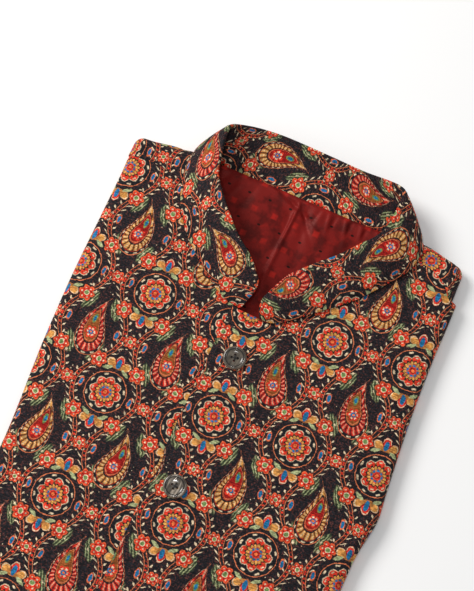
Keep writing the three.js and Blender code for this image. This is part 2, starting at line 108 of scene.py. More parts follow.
# Standing collar, one row a section from the wearer's right end round the back to the left end:
# where the middle of the band meets the neck (s), and where its top edge is (t).
COLLAR = table(
    "sx sy sz tx ty tz",
    (-12.4, -12.6, 17.15, -3, 12, 26.3), (-18, -11.6, 17.1, -9, 12.6, 28),
    (-25.5, -9.6, 16.95, -14.5, 19, 30.5), (-38, -3.8, 16.95, -20.5, 24.5, 32.5),
    (-57, 10.4, 16.95, -38, 37.5, 34.5), (-71, 22, 16.95, -50, 49.5, 35.5),
    (-84, 37, 16.85, -62, 63, 35.5), (-91.5, 50, 16.75, -70, 74, 35),
    (-96.5, 64, 16.65, -74.5, 88, 34), (-99, 79, 16.2, -78, 105, 33),
    (-98.5, 90, 14.6, -79, 114.5, 31.5), (-96, 94.6, 11, -77.5, 119, 27.5),
    (-90, 93.7, 8, -72, 123.2, 23.5), (-76, 93.1, 6.8, -61, 127, 21),
    (-45, 92.7, 6.6, -40, 129.8, 19.5), (0, 92.5, 6.6, 0, 129.6, 19),
    (42, 92.7, 6.6, 32, 128.6, 19.5), (72, 94.1, 6.9, 50, 129, 21),
    (86, 95.7, 8.2, 59.5, 128, 23), (92.5, 96.8, 11.5, 64.5, 124.5, 26),
    (95, 92.5, 15, 66, 118.5, 28.5), (95.8, 82, 16.6, 66, 107, 29),
    (93.6, 70, 16.75, 65, 94, 28), (86.6, 58.7, 16.85, 60.5, 81.5, 27),
    (76, 44.3, 16.95, 51, 70, 26), (63.5, 28.7, 17.05, 38.5, 54.5, 25.5),
    (49.7, 16.1, 17.55, 25.5, 41.5, 25), (34.3, 1.8, 18.35, 11, 25, 24.5),
    (21, -10, 18.95, 5, 12.5, 24), (12, -14.2, 19.05, 1, 3, 23.3), (4.2, -14.4, 19.05, -2.5, -2.5, 23),
)
BAND = 1.1
BAND_GAP = 0.6
BAND_BULGE = 1.8
COLLAR_CORNER_ALONG = 20
COLLAR_CORNER_DROP = 0.72

NECK_CENTRE = (0, 45)
LINING = 1.2
LINING_TUCK = 7
LINING_DIP_EDGE = 0.5
LINING_DIP_MIDDLE = 3.4
LINING_BACK_Y = 91.2
LINING_ROOM = 3.2  # depth of the hidden bowl below the lining

CREASE_BEND = 0.0009
# Main creases of the fronts: middle, direction, length, width and height. Below 0 is a trough.
CREASES = table(
    "x y angle length width height",
    (118, -60, 78, 120, 9, 0.9), (104, -128, 18, 70, 8, -0.8), (88, -215, 82, 150, 10, 0.6),
    (-112, -40, 96, 130, 9, 0.7), (-98, -150, 70, 120, 11, -0.7), (-60, -96, 40, 90, 10, 0.5),
    (62, -30, 130, 80, 10, 0.5), (40, -140, 100, 120, 13, -0.5), (-44, -262, 84, 150, 12, 0.6),
    (96, -345, 96, 170, 12, -0.8), (-102, -372, 85, 150, 11, 0.7), (48, -420, 64, 130, 12, 0.6),
    (-62, -486, 112, 140, 12, -0.6), (108, -520, 88, 120, 10, 0.8), (-108, -560, 92, 90, 9, 0.6),
    (30, -565, 82, 80, 9, 0.7), (-30, -575, 100, 70, 8, -0.5), (72, -585, 95, 60, 8, -0.6),
)
# Creases of the underside: all are hollows, so that it rests flat.
UNDER_CREASES = table(
    "x y angle length width height",
    (70, -200, 62, 90, 7, 0.6), (104, -330, 84, 140, 8, 0.5), (60, -455, 100, 120, 9, 0.6),
    (-64, -232, 118, 100, 8, 0.6), (-100, -390, 95, 150, 8, 0.5), (-58, -520, 80, 110, 9, 0.6),
    (0, -60, 90, 120, 10, 0.7), (8, -300, 86, 200, 9, 0.6), (-10, -500, 95, 140, 8, 0.5),
)


def middle_of(node):
    """Middle of a CAD node's foot, in the frame's millimetres."""
    low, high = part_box(node)
    return np.array([(low[0] + high[0]) / 2, (low[1] + high[1]) / 2, low[2]]) / MM


LINE_POINTS = 400
# Where the garment's own axes lie in the frame: the first button marks both.
ORIGIN = middle_of("button_1") * (1, 1, 0) - (0, BUTTON_TOP_Y, 0)


def smooth(value):
    """Smooth step from 0 to 1."""
    share = np.clip(value, 0, 1)
    return share * share * (3 - 2 * share)


def turn_of(x, y, degrees):
    """Coordinates on axes turned by an angle."""
    c, s = math.cos(math.radians(degrees)), math.sin(math.radians(degrees))
    return x * c + y * s, y * c - x * s


def follow(rows, at, along, column):
    """Smooth curve through a table's rows, by one column."""
    x, value = rows[along], rows[column]
    index = np.clip(np.searchsorted(x, at, side="right") - 1, 0, len(x) - 2)
    before = np.maximum(index - 1, 0)
    after = np.minimum(index + 2, len(x) - 1)
    span = x[index + 1] - x[index]
    s = np.clip((at - x[index]) / span, 0, 1)
    slope_a = (value[index + 1] - value[before]) / (x[index + 1] - x[before]) * span
    slope_b = (value[after] - value[index]) / (x[after] - x[index]) * span
    rise = s * s * (3 - 2 * s)
    bend = s * (1 - s) * ((1 - s) * slope_a - s * slope_b)
    return value[index] + (value[index + 1] - value[index]) * rise + bend


def curve(rows, columns, share):
    """Centripetal curve through a table's points, at shares of its stretches."""
    points = np.column_stack([rows[name] for name in columns.split()])
    padded = np.concatenate([2 * points[:1] - points[1:2], points, 2 * points[-1:] - points[-2:-1]])
    place = np.clip(share, 0, 1) * (len(points) - 1)
    index = np.minimum(place.astype(int), len(points) - 2)
    t = (place - index)[:, None]
    p0, p1, p2, p3 = (padded[index + k] for k in range(4))
    d0, d1, d2 = (
        np.maximum(np.sqrt(np.linalg.norm(b - a, axis=1)), 1e-4)[:, None]
        for a, b in ((p0, p1), (p1, p2), (p2, p3))
    )
    tangent_a = ((p1 - p0) / d0 - (p2 - p0) / (d0 + d1) + (p2 - p1) / d1) * d1
    tangent_b = ((p2 - p1) / d1 - (p3 - p1) / (d1 + d2) + (p3 - p2) / d2) * d1
    square = -3 * p1 + 3 * p2 - 2 * tangent_a - tangent_b
    cube = 2 * p1 - 2 * p2 + tangent_a + tangent_b
    return p1 + tangent_a * t + square * t**2 + cube * t**3


def dense_line(rows):
    """A table's plan curve as many points."""
    return curve(rows, "x y", np.linspace(0, 1, LINE_POINTS))


def seam_points(share):
    return curve(COLLAR, "sx sy sz", share)


def top_points(share):
    return curve(COLLAR, "tx ty tz", share)


def round_off(distance, radius):
    """Share of a round fold's radius that is left at a distance inside its edge."""
    inside = np.clip(distance, 0, radius)
    return np.sqrt(np.maximum(1 - (1 - inside / radius) ** 2, 0))


def shoulder_at(x):
    return follow(SHOULDER_LINE, x, "x", "y")


def fold_at(y, side, from_shoulder):
    """Outward distance of a side fold from the button line."""
    corner = CORNER_ROUND * (1 - round_off(from_shoulder + 0.5, CORNER_ROUND))
    return side * follow(FOLDS, y, "y", "right" if side > 0 else "left") - corner


def creased(x, y, rows):
    """Height that a table's creases add at a point."""
    total = np.zeros(np.broadcast(x, y).shape)
    for middle_x, middle_y, angle, length, width, height in zip(*rows.values()):
        along, across = turn_of(x - middle_x, y - middle_y, angle)
        across = across + CREASE_BEND * along**2
        total = total + height * np.exp(-((2 * along / length) ** 4) - (across / width) ** 2)
    return total


def round_neck(x, y):
    """Angle and distance of plan points round the middle of the neck."""
    dx, dy = x - NECK_CENTRE[0], y - NECK_CENTRE[1]
    return np.arctan2(dy, dx), np.hypot(dx, dy)


def lining_outline():
    """Edge of the lining: the collar's seam, moved outward under the fronts."""
    offset = seam_points(np.linspace(0, 1, 240))[:, :2] - NECK_CENTRE
    edge = NECK_CENTRE + offset * (1 + LINING_TUCK / np.linalg.norm(offset, axis=1, keepdims=True))
    edge[:, 1] = np.minimum(edge[:, 1], LINING_BACK_Y)
    return edge


NECK_POLAR = round_neck(*lining_outline().T)


def neck_reach(x, y):
    """Distance of a plan point from the middle of the neck, over that of the tucked lining's edge."""
    angle, distance = round_neck(x, y)
    return distance / np.interp(angle, *NECK_POLAR, period=2 * math.pi)


def top_lift(x, y, from_fold):
    """Creases of the upper side. They fade towards the neck, the folds and the button line."""
    away = smooth((neck_reach(x, y) - 1.02) / 0.35) * smooth((from_fold - 2) / 16)
    drift = 0.22 * np.sin(x / 31 + y / 67 + 0.8) + 0.16 * np.sin(x / 17 - y / 43 + 2.1)
    beside_buttons = 1 - 0.75 * np.exp(-((x / 13) ** 2))
    return (creased(x, y, CREASES) + drift) * away * beside_buttons


def under_lift(x, y, from_fold):
    """Hollows of the underside."""
    return creased(x, y, UNDER_CREASES) * smooth((from_fold - 4) / 14)


def stack_heights(x, y, from_shoulder, from_fold, inset=0.0, lapping=False):
    """Top and bottom of the folded stack, drawn in by an inset, with its creases."""
    radius = ROLL - inset
    side = round_off(from_fold - inset, radius)
    end = round_off(from_shoulder - inset, radius)
    crown = CROWN * smooth(from_fold / CROWN_REACH) * (0.55 + 0.45 * smooth(from_shoulder / CROWN_REACH))
    lift = LAP_LIFT * (1 - smooth((x - LAP - 1) / LAP_SPREAD)) if lapping else 0
    top = ROLL + (radius * side + crown + lift + top_lift(x, y, from_fold)) * end
    return top, ROLL - (radius * side - under_lift(x, y, from_fold)) * end


# Meshes.

WELD_REACH = 0.00002  # metres
RIM_REACH = 0.45  # how far a cloth's rounded edge stands out, over its thickness


def in_frame(points):
    """Garment millimetres as metres in the frame."""
    return (np.asarray(points, float).reshape(-1, 3) + ORIGIN) * MM


def circle(sides):
    """Angles of the points of a circle."""
    return np.arange(sides) / sides * 2 * math.pi


def run_along(line):
    """Length along a line up to each of its points."""
    return np.concatenate([[0], np.cumsum(np.linalg.norm(np.diff(line, axis=0), axis=1))])


def at_length(line, places):
    """Points of a line at lengths along it."""
    run = run_along(line)
    return np.stack([np.interp(places, run, column) for column in line.T], axis=-1)


def spaced(line, step):
    """Points at an even step along a dense line."""
    length = run_along(line)[-1]
    return at_length(line, np.linspace(0, length, max(int(length / step), 2) + 1))


def unit(vectors):
    """Vectors brought to a length of 1."""
    return vectors / np.maximum(np.linalg.norm(vectors, axis=-1, keepdims=True), 1e-9)


def new_object(name, points, faces):
    """A mesh object in the scene, from points in metres."""
    mesh = bpy.data.meshes.new(name)
    mesh.from_pydata(np.asarray(points).tolist(), [], [list(map(int, face)) for face in faces])
    made = bpy.data.objects.new(name, mesh)
    bpy.context.scene.collection.objects.link(made)
    return made


def new_piece(name, parts, surface, node):
    """An object that rides on the body and stands for a CAD node.

    Parts are points in millimetres, faces and cloth coordinates. A surface is a material and a slot name; the
    slot name is not used.
    """
    points, faces, cloth = parts
    material, slot = surface
    piece = new_object(name, in_frame(points), faces)
    mesh = piece.data
    mesh.validate()
    mesh.update()
    mesh.shade_smooth()
    layer = mesh.uv_layers.new(name="cloth")
    corner = np.zeros(len(mesh.loops), np.int32)
    mesh.loops.foreach_get("vertex_index", corner)
    layer.data.foreach_set("uv", (np.asarray(cloth).reshape(-1, 2)[corner] * MM).ravel())
    mesh.materials.append(material)
    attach(piece, "root")
    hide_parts(node)
    return piece


def weld(mesh):
    """Joins points that lie on one another, so that a form closes."""
    work = bmesh.new()
    work.from_mesh(mesh)
    bmesh.ops.remove_doubles(work, verts=work.verts, dist=WELD_REACH)
    bmesh.ops.dissolve_degenerate(work, edges=work.edges, dist=WELD_REACH)
    work.to_mesh(mesh)
    work.free()
    mesh.shade_smooth()


def quads_of(index):
    """Faces of a grid of point indices."""
    corners = (index[:-1, :-1], index[:-1, 1:], index[1:, 1:], index[1:, :-1])
    return np.stack(corners, axis=-1).reshape(-1, 4)


def ring_faces(index):
    """Faces between closed rings of point indices, one ring a row."""
    return quads_of(np.concatenate([index, index[:, :1]], axis=1))


def fan(middle, ring):
    """Triangles from a middle point to a closed ring."""
    return [[middle, a, b] for a, b in zip(ring, np.roll(ring, -1))]


def capped_rings(rings, sides):
    """Faces of a closed form made of rings of points."""
    index = np.arange(rings * sides).reshape(rings, sides)
    return [*ring_faces(index), index[0, ::-1], index[-1]]


def tube(path, radius, sides=8):
    """Closed round tube along a path: points, faces and thread coordinates."""
    along = unit(np.gradient(path, axis=0))
    side = unit(np.cross(along, (0.0, 0.0, 1.0)))
    up = np.cross(side, along)
    angle = circle(sides)[:, None]
    points = path[:, None] + radius * (np.cos(angle) * side[:, None] + np.sin(angle) * up[:, None])
    cloth = np.stack(np.broadcast_arrays(run_along(path)[:, None], angle[:, 0] * radius), axis=-1)
    return points.reshape(-1, 3), capped_rings(len(path), sides), cloth.reshape(-1, 2)


def joined_parts(parts):
    """Several sets of points, faces and cloth coordinates as one."""
    points, faces, cloth, count = [], [], [], 0
    for part_points, part_faces, part_cloth in parts:
        faces += [np.asarray(face) + count for face in part_faces]
        points.append(part_points)
        cloth.append(part_cloth)
        count += len(part_points)
    return np.concatenate(points), faces, np.concatenate(cloth)


def grid_normals(points):
    """Unit normals of a grid of points, rows by columns."""
    return unit(np.cross(np.gradient(points, axis=1), np.gradient(points, axis=0)))


def border_of(index):
    """Indices round a grid's edge, and for each the index of its neighbour inside."""
    ring = [*index[0, :], *index[1:, -1], *index[-1, -2::-1], *index[-2:0:-1, 0]]
    inner = [*index[1, :], *index[1:, -2], *index[-2, -2::-1], *index[-2:0:-1, 1]]
    return np.array(ring), np.array(inner)


def shell_parts(outer, cloth):
    """Closed thin cloth from a grid on its outer side: points, faces and cloth coordinates."""
    count = outer.shape[0] * outer.shape[1]
    index = np.arange(count).reshape(outer.shape[:2])
    ring, beside = border_of(index)
    inner = (outer - grid_normals(outer) * CLOTH_SHOWN).reshape(-1, 3)
    outer, cloth = outer.reshape(-1, 3), cloth.reshape(-1, 2)
    rim = (outer[ring] + inner[ring]) / 2 + unit(outer[ring] - outer[beside]) * (CLOTH_SHOWN * RIM_REACH)
    rim_index = 2 * count + np.arange(len(ring))
    ring_next, rim_next = np.roll(ring, -1), np.roll(rim_index, -1)
    faces = np.concatenate([
        quads_of(index),
        quads_of(index)[:, ::-1] + count,
        np.column_stack([ring_next, ring, rim_index, rim_next]),
        np.column_stack([rim_next, rim_index, ring + count, ring_next + count]),
    ])
    return np.concatenate([outer, inner, rim]), faces, np.concatenate([cloth, cloth, cloth[ring]])


def turned(x, y, degrees, offset):
    """Cloth coordinates turned to the grain of a panel."""
    return np.stack(turn_of(x, y, degrees), axis=-1) + offset


# Fronts.

FRONT_ROWS = 170
FOLD_STEPS = 12
EDGE_STEP = 3.2
REFERENCE_FOLD = 140
FLAT_END = REFERENCE_FOLD - ROLL
STEADY_X = 101  # columns up to here keep their place, and those beyond follow the fold
FRONT_GRAIN = {1: 4.2, -1: -1.0}
PRINT_START = {1: (3, 12), -1: (12, 30)}
UPPER, ARC, UNDER = 0, 1, 2  # kinds of columns: on the upper side, round the fold and on the underside
FITTING_ROUNDS = 6


def merged(values, least):
    """Sorted values with none closer than the least step."""
    kept = []
    for value in sorted(values):
        if not kept or value - kept[-1] >= least:
            kept.append(value)
    return np.array(kept)


def upper_edge(side):
    """Neck edge and shoulder seam of a front, outward from its lap."""
    return np.concatenate([dense_line(NECK_EDGE[side]), dense_line(SHOULDER_SEAM[side])[1:]])


def hem_corner_line():
    angle = np.linspace(0, math.pi / 2, 60)
    x = -LAP + HEM_CORNER * (1 - np.cos(angle))
    return np.column_stack([x, HEM_Y + HEM_CORNER * (1 - np.sin(angle))])


def upper_columns(side):
    """Outward places of the columns on the upper side, closer together where an edge is steep."""
    corner = spaced(hem_corner_line(), EDGE_STEP)[:, 0]
    upper = spaced(upper_edge(side), EDGE_STEP)[:, 0]
    rest = np.arange(upper.max(), FLAT_END, EDGE_STEP)
    return merged([*corner, *upper[upper < FLAT_END - 1], FLAT_END, *rest[1:-1]], 0.25)


def under_columns(armhole):
    """Outward places of the columns on the underside, from the fold to the side seam."""
    edge = spaced(armhole, EDGE_STEP)[:, 0]
    edge = merged([*edge[edge < FLAT_END], FLAT_END], 0.3)
    rest = np.arange(edge[-2] + EDGE_STEP, edge[-1] - 1, EDGE_STEP)
    return merged([*edge, *rest], 0.3)[::-1]


def stretched(value, last, fold):
    """Outward places of flat columns when the last of them lies where the fold begins."""
    past = np.maximum(value - STEADY_X, 0) / (last - STEADY_X)
    return np.minimum(value, STEADY_X) + past * (fold - ROLL - STEADY_X)


def front_grid(side):
    """Outer side of one front, from its lap across, round the fold and back to the side seam."""
    armhole, upper_line, corner_line = dense_line(ARMHOLE), upper_edge(side), hem_corner_line()
    arc = np.linspace(math.pi / 2, -math.pi / 2, FOLD_STEPS + 1)[1:-1]
    columns = (upper_columns(side), arc, under_columns(armhole))
    kinds = np.concatenate([np.full(len(part), kind) for kind, part in zip((UPPER, ARC, UNDER), columns)])
    value = np.concatenate(columns)
    choice = [kinds == UPPER, kinds == ARC]
    nominal = np.where(kinds == UPPER, value, REFERENCE_FOLD)

    def place(y):
        """Outward distance, that of the fold, and length along the cloth, of each column."""
        fold = fold_at(np.minimum(y, FRONT_FOLD_TOP[side]), side, shoulder_at(side * nominal) - y)
        flat = stretched(value, FLAT_END, fold)
        x = np.where(kinds == ARC, fold - ROLL * (1 - np.cos(value)), flat)
        turn_length = fold - ROLL + ROLL * (math.pi / 2 - value)
        under_length = fold - ROLL + ROLL * math.pi + (fold - ROLL - flat)
        return x, fold, np.select(choice, [flat, turn_length], under_length)

    seam_end = upper_line[-1, 1]
    top = np.full(len(value), seam_end)
    for _ in range(FITTING_ROUNDS):
        x = place(top)[0]
        beneath = np.minimum(np.interp(x, *armhole.T), seam_end)
        top = np.select(choice, [np.interp(x, *upper_line.T), seam_end], beneath)
    bottom = np.full(len(value), float(HEM_Y))
    bottom = np.where(kinds == UPPER, np.interp(place(bottom)[0], *corner_line.T), bottom)
    y = bottom + (top - bottom) * np.linspace(0, 1, FRONT_ROWS)[:, None]
    x, fold, length = place(y)
    from_fold = np.where(kinds == ARC, ROLL * (1 - np.cos(value)), fold - x)
    high, low = stack_heights(side * x, y, shoulder_at(side * x) - y, from_fold, lapping=side > 0)
    z = np.where((kinds == UPPER) | ((kinds == ARC) & (value >= 0)), high, low)
    cloth = turned(side * length, y, FRONT_GRAIN[side], PRINT_START[side])
    return np.stack([side * x, y, z], axis=-1)[:, ::side], cloth[:, ::side]


# Shoulders: the back comes over the fold to the forward seam.

SHOULDER_ROWS = 34
SHOULDER_STEP = 2.2
SHOULDER_SWEEP = math.radians(118)  # how far the strip goes round the fold
SHOULDER_TUCK = 1.55
BACK_GRAIN = 2.0


def shoulder_grid(side):
    """Outer side of one shoulder strip, from the seam over the fold and a little way down behind."""
    seam = dense_line(SHOULDER_SEAM[side])
    flat_columns = merged([*spaced(seam, SHOULDER_STEP)[:, 0], *np.arange(130, 134, 2.0)], 0.4)
    arc = np.linspace(0, math.pi / 2, 8)[1:]
    value = np.concatenate([flat_columns, arc])
    on_arc = np.arange(len(value)) >= len(flat_columns)
    nominal = np.where(on_arc, REFERENCE_FOLD, value)
    shoulder = shoulder_at(side * nominal)
    start = np.interp(nominal, *seam.T) + GAP
    flat = shoulder - ROLL - start
    way = np.linspace(0, 1, SHOULDER_ROWS)[:, None] * (flat + ROLL * SHOULDER_SWEEP)
    past = np.maximum(way - flat, 0) / ROLL
    over = shoulder - ROLL + ROLL * np.sin(np.minimum(past, math.pi / 2))
    y = np.where(way < flat, start + way, over)
    from_shoulder = shoulder - y
    fold = fold_at(np.maximum(y, SHOULDER_FOLD_START[side]), side, np.maximum(from_shoulder, 0))
    round_fold = ROLL * (1 - np.cos(math.pi / 2 - value))
    from_fold = np.where(on_arc, round_fold, fold - stretched(value, flat_columns[-1], fold))
    x = fold - from_fold
    high, _ = stack_heights(side * x, y, from_shoulder, from_fold)
    behind = past - math.pi / 2
    high = np.where(behind > 0, ROLL - ROLL * round_off(from_fold, ROLL) * np.sin(behind), high)
    y = np.where(behind > 0, shoulder - ROLL * (1 - np.cos(behind)), y)
    y = y - SHOULDER_TUCK * smooth((past - math.pi * 0.4) / (math.pi * 0.24))
    cloth = turned(side * (x + np.where(on_arc, value * ROLL, 0)), start + way, BACK_GRAIN, (20, 5))
    return np.stack([side * x, y, high], axis=-1)[:, ::side], cloth[:, ::side]


# Back and hidden layers, one closed form with layered edges at the hem.

HEM_GROOVES = (3.6, 5.6, 8.2, 10.6)
GROOVE_DEPTH = 3.6
HEM_FACE_STEPS = 44
BACK_COLUMNS = 74  # between its two round folds
BACK_STEP = 4.2
BACK_TOP_Y = 96  # rows near the shoulders follow them, and rows near the hem run level from here
LEVEL_FROM = 560  # distance from the shoulders at which the rows begin to turn level
LEVEL_BLEND = 80


def hem_recess(x, height, low, high):
    """How far the layered hem face lies behind its foremost point."""
    edges = [low, *HEM_GROOVES, high]
    recess = np.full(np.shape(height), GROOVE_DEPTH)
    for k, (bottom, top) in enumerate(zip(edges, edges[1:])):
        inside = np.clip(1 - ((2 * height - bottom - top) / (top - bottom)) ** 2, 0, 1)
        wander = 0.7 + 0.6 * np.sin(x / (23 + 7 * k) + 1.7 * k) + 0.3 * np.sin(x / 9 + k)
        layer = GROOVE_DEPTH * (1 - np.sqrt(inside)) + wander
        recess = np.where((height >= bottom) & (height <= top), layer, recess)
    return recess


def hem_face(top_row, bottom_row):
    """Layered face between the last rows of the upper side and the underside."""
    steps = np.linspace(0, 1, HEM_FACE_STEPS)[1:-1, None]
    z = top_row[:, 2] + (bottom_row[:, 2] - top_row[:, 2]) * steps
    x = np.broadcast_to(top_row[:, 0], z.shape)
    recess = hem_recess(x, z, bottom_row[:, 2].min(), top_row[:, 2].max())
    y = top_row[:, 1] - 0.3 + recess * smooth(np.minimum(steps, 1 - steps) * 8)
    return np.stack([x, y, z], axis=-1), np.stack([x, y + z * 2], axis=-1)


def back_parts():
    """Points, faces and cloth coordinates of the back with its hidden layers."""
    radius = ROLL - LAYERS_INSET
    fold_arc = radius * (1 - np.cos(np.linspace(0, math.pi / 2, 7)))
    end_arc = radius * (1 - np.cos(np.linspace(0, math.pi / 2, 8))) + LAYERS_INSET
    hem = HEM_Y + CLOTH
    distance = np.concatenate([end_arc, np.arange(end_arc[-1] + 4, BACK_TOP_Y - hem - 2, BACK_STEP)])[:, None]
    shoulder = shoulder_at(np.linspace(-REFERENCE_FOLD, REFERENCE_FOLD, BACK_COLUMNS + 2 * len(fold_arc)))
    level = smooth((distance - LEVEL_FROM) / LEVEL_BLEND)
    y = np.maximum(shoulder - distance, hem) * (1 - level) + (BACK_TOP_Y - distance) * level
    y = np.concatenate([np.maximum(y, hem + 0.4), np.full((1, len(shoulder)), hem)])
    from_shoulder = shoulder - y
    fold_left, fold_right = (
        fold_at(np.where(y > FRONT_FOLD_TOP[side] - 2, np.maximum(y, SHOULDER_FOLD_START[side]), y),
                side, from_shoulder)
        for side in (-1, 1)
    )
    left, right = LAYERS_INSET - fold_left, fold_right - LAYERS_INSET
    middle = left + radius + np.pad(np.linspace(0, 1, BACK_COLUMNS + 2)[1:-1], len(fold_arc)) * (
        right - left - 2 * radius
    )
    n = len(fold_arc)
    x = np.hstack([left[:, :n] + fold_arc, middle[:, n:-n], right[:, -n:] - fold_arc[::-1]])
    from_fold = np.minimum(x + fold_left, fold_right - x)
    high, low = stack_heights(x, y, from_shoulder, from_fold, LAYERS_INSET)
    bowl = 1 - smooth((neck_reach(x, y) - 1.0) / 0.05)
    high = np.maximum(high - bowl * (LINING + LINING_ROOM + LINING_DIP_MIDDLE), low)
    tops, bottoms = np.stack([x, y, high], axis=-1), np.stack([x, y, low], axis=-1)
    cloth = turned(-x, y, BACK_GRAIN, (9, 22))
    face, face_cloth = hem_face(tops[-1], bottoms[-1])
    points = np.concatenate([tops, face, bottoms[::-1]])
    points_cloth = np.concatenate([cloth, face_cloth, cloth[::-1]])
    index = np.arange(points.size // 3).reshape(points.shape[:2])
    return points.reshape(-1, 3), quads_of(index)[:, ::-1], points_cloth.reshape(-1, 2)


# Lining of the back, seen in the neck opening.

LINING_SPOKES = 400
LINING_RINGS = 64
LINING_STEP = 0.5  # between the points from which its spokes are picked
LINING_SHOWN = 0.9  # its thickness
# Puckers under the back neck seam: place along it, direction down from it, length, width and height.
# The long narrow one is the pressed edge of the pleat at the centre back.
PUCKERS = table(
    "x lean length width height",
    (-72, 34, 22, 3.0, 0.6), (-62, 30, 34, 3.6, -0.6), (-50, 22, 26, 2.6, 0.6), (-41, 14, 40, 3.8, -0.5),
    (-33, -66, 14, 5.2, -1.7), (-42, -66, 13, 4.5, 1.0), (-20, -34, 26, 3.0, 0.5), (-13, -10, 34, 3.6, -0.7),
    (-5.2, 1.4, 84, 1.4, 1.1), (-9.4, -35, 23, 2.6, -1.7), (0.5, -8, 40, 3.2, -0.7), (12, -4, 36, 5.5, 1.0),
    (13, 12, 17, 2.0, -1.0), (19, -8, 21, 2.2, 1.3),
    (26, 8, 16, 1.8, -1.0), (32, -14, 20, 2.0, 1.2), (39, 6, 15, 1.8, -1.0), (45, -12, 18, 2.0, 1.2),
    (52, 10, 14, 1.8, -0.9), (58, -18, 18, 2.0, 1.1), (65, 4, 14, 1.8, -0.8), (72, -22, 15, 2.4, 0.8),
)
PUCKER_DEPTH = 1.9


def puckers(x, y):
    """Height of the lining's puckers."""
    total = np.zeros(np.shape(x))
    below = LINING_BACK_Y + 3 - y
    for place, lean, length, width, height in zip(*PUCKERS.values()):
        across = (x - place + math.tan(math.radians(lean)) * below) / (width * (0.8 + below / 90))
        fade = np.exp(-((below / length) ** 2)) * smooth((below + 2) / 6)
        total = total + height * np.exp(-(across**2)) * fade
    wave = 0.45 * np.sin(x / 9 + y / 16 + 0.6) + 0.40 * np.sin(y / 11 - x / 17 + 1)
    return total * PUCKER_DEPTH + wave


def lining_parts():
    outline = lining_outline()
    outline = spaced(np.concatenate([outline, outline[:1]]), LINING_STEP)
    outline = outline[np.linspace(0, len(outline) - 1, LINING_SPOKES, endpoint=False).astype(int)]
    share = np.linspace(0, 1, LINING_RINGS + 1)[:, None]
    x, y = (NECK_CENTRE[k] + (outline[:, k] - NECK_CENTRE[k]) * share for k in (0, 1))
    from_shoulder = shoulder_at(x) - y
    from_fold = np.minimum(fold_at(y, 1, from_shoulder) - x, fold_at(y, -1, from_shoulder) + x)
    top, _ = stack_heights(x, y, from_shoulder, from_fold, LAYERS_INSET)
    dip = LINING_DIP_EDGE + (LINING_DIP_MIDDLE - LINING_DIP_EDGE) * (1 - share**4)
    z = top - dip + puckers(x, y) * (1 - share**6)
    upper = np.stack([x, y, z], axis=-1)[1:].reshape(-1, 3)
    middle = np.array([[*NECK_CENTRE, z[0].mean()]])
    count = len(upper)
    index = np.arange(count).reshape(LINING_RINGS, LINING_SPOKES)
    first, last = index[0], index[-1]
    faces = [
        *ring_faces(index)[:, ::-1],
        *(ring_faces(index) + count),
        *ring_faces(np.array([last, last + count]))[:, ::-1],
        *fan(2 * count, first),
        *fan(2 * count + 1, first[::-1] + count),
    ]
    drop = (0, 0, LINING_SHOWN)
    points = np.concatenate([upper, upper - drop, middle, middle - drop])
    return points, faces, points[:, :2]


# Collar.

BAND_STATIONS = 300
WALL_STEPS = 21
WALL_START = 0.06  # half of the slit between the two walls
# The walls run this share of their height below the seam line, and a little more at the back.
SEAM_REACH = 0.022
BACK_REACH = 0.04
SEAM_DRAW = 0.75  # share of the thickness that the seam draws in
SEAM_BLEND = 0.12
COLLAR_PRINT_UP = 8


def band_shares():
    """Shares of the band's stations, closer together at its ends."""
    even = np.linspace(0, 1, BAND_STATIONS)
    return np.unique(np.concatenate([even, 0.04 * even[::12] ** 2, 1 - 0.04 * even[::12] ** 2]))


def band_sizes(share):
    """Length along the seam, the band's full height, and its height with the round ends."""
    seam = seam_points(share)
    run = run_along(seam)
    full_height = np.linalg.norm(top_points(share) - seam, axis=1)
    from_end = np.minimum(share, 1 - share) * run[-1] * 1.15
    corner = COLLAR_CORNER_DROP * (1 - round_off(from_end, COLLAR_CORNER_ALONG))
    return run, full_height, full_height * (1 - corner)


def band_surface(share, rise, offset):
    """Points of the band at a share of its length, a share of its full height and a distance outward."""
    lift = np.broadcast_to(rise, np.shape(share))[:, None]

    def level(at):
        return seam_points(at) * (1 - lift) + top_points(at) * lift

    along = level(np.minimum(share + 0.004, 1)) - level(np.maximum(share - 0.004, 0))
    normal = unit(np.cross(top_points(share) - seam_points(share), along))
    inside = np.clip(lift, 0, 1)
    bulge = BAND_BULGE * 4 * inside * (1 - inside)
    wave = 0.4 * np.sin(share[:, None] * 26 + 3 * lift) * np.sin(math.pi * inside)
    return level(share) + normal * (bulge + wave + offset)


def collar_parts(outward):
    """One wall of the collar, closed. Outward is 1 for the outer wall and -1 for the inner."""
    share = band_shares()
    run, full_height, height = band_sizes(share)
    thick = BAND + BAND_GAP / 2
    reach = SEAM_REACH + BACK_REACH * smooth((seam_points(share)[:, 1] - 80) / 9)
    up = np.array([-1, *np.linspace(0, 1, WALL_STEPS)[:-1]])
    drawn_in = 1 - SEAM_DRAW * (1 - smooth(up / SEAM_BLEND))
    # Height is a share of the wall's own, less a drop in millimetres from its top edge. Below 0 is the reach.
    profile = [
        *((share_up, 0.0, WALL_START) for share_up in up),
        *((1.0, thick * (1 - math.cos(a)), WALL_START + (thick - WALL_START) * math.sin(a))
          for a in np.linspace(0, math.pi / 2, 7)),
        *((share_up, thick * max(share_up, 0), thick * draw)
          for share_up, draw in zip(up[::-1], drawn_in[::-1])),
    ]
    rings, cloth = [], []
    for share_up, drop, offset in profile:
        above = -reach * height if share_up < 0 else share_up * height - drop
        rings.append(band_surface(share, above / full_height, outward * offset))
        cloth.append(np.column_stack([above + COLLAR_PRINT_UP, run]))
    index = np.arange(len(profile) * len(share)).reshape(len(profile), len(share))
    faces = quads_of(np.concatenate([index, index[:1]]))[:, ::-outward]
    caps = [index[::-outward, 0], index[::outward, -1]]
    return np.concatenate(rings), [*faces, *caps], np.concatenate(cloth)


# Stitching.

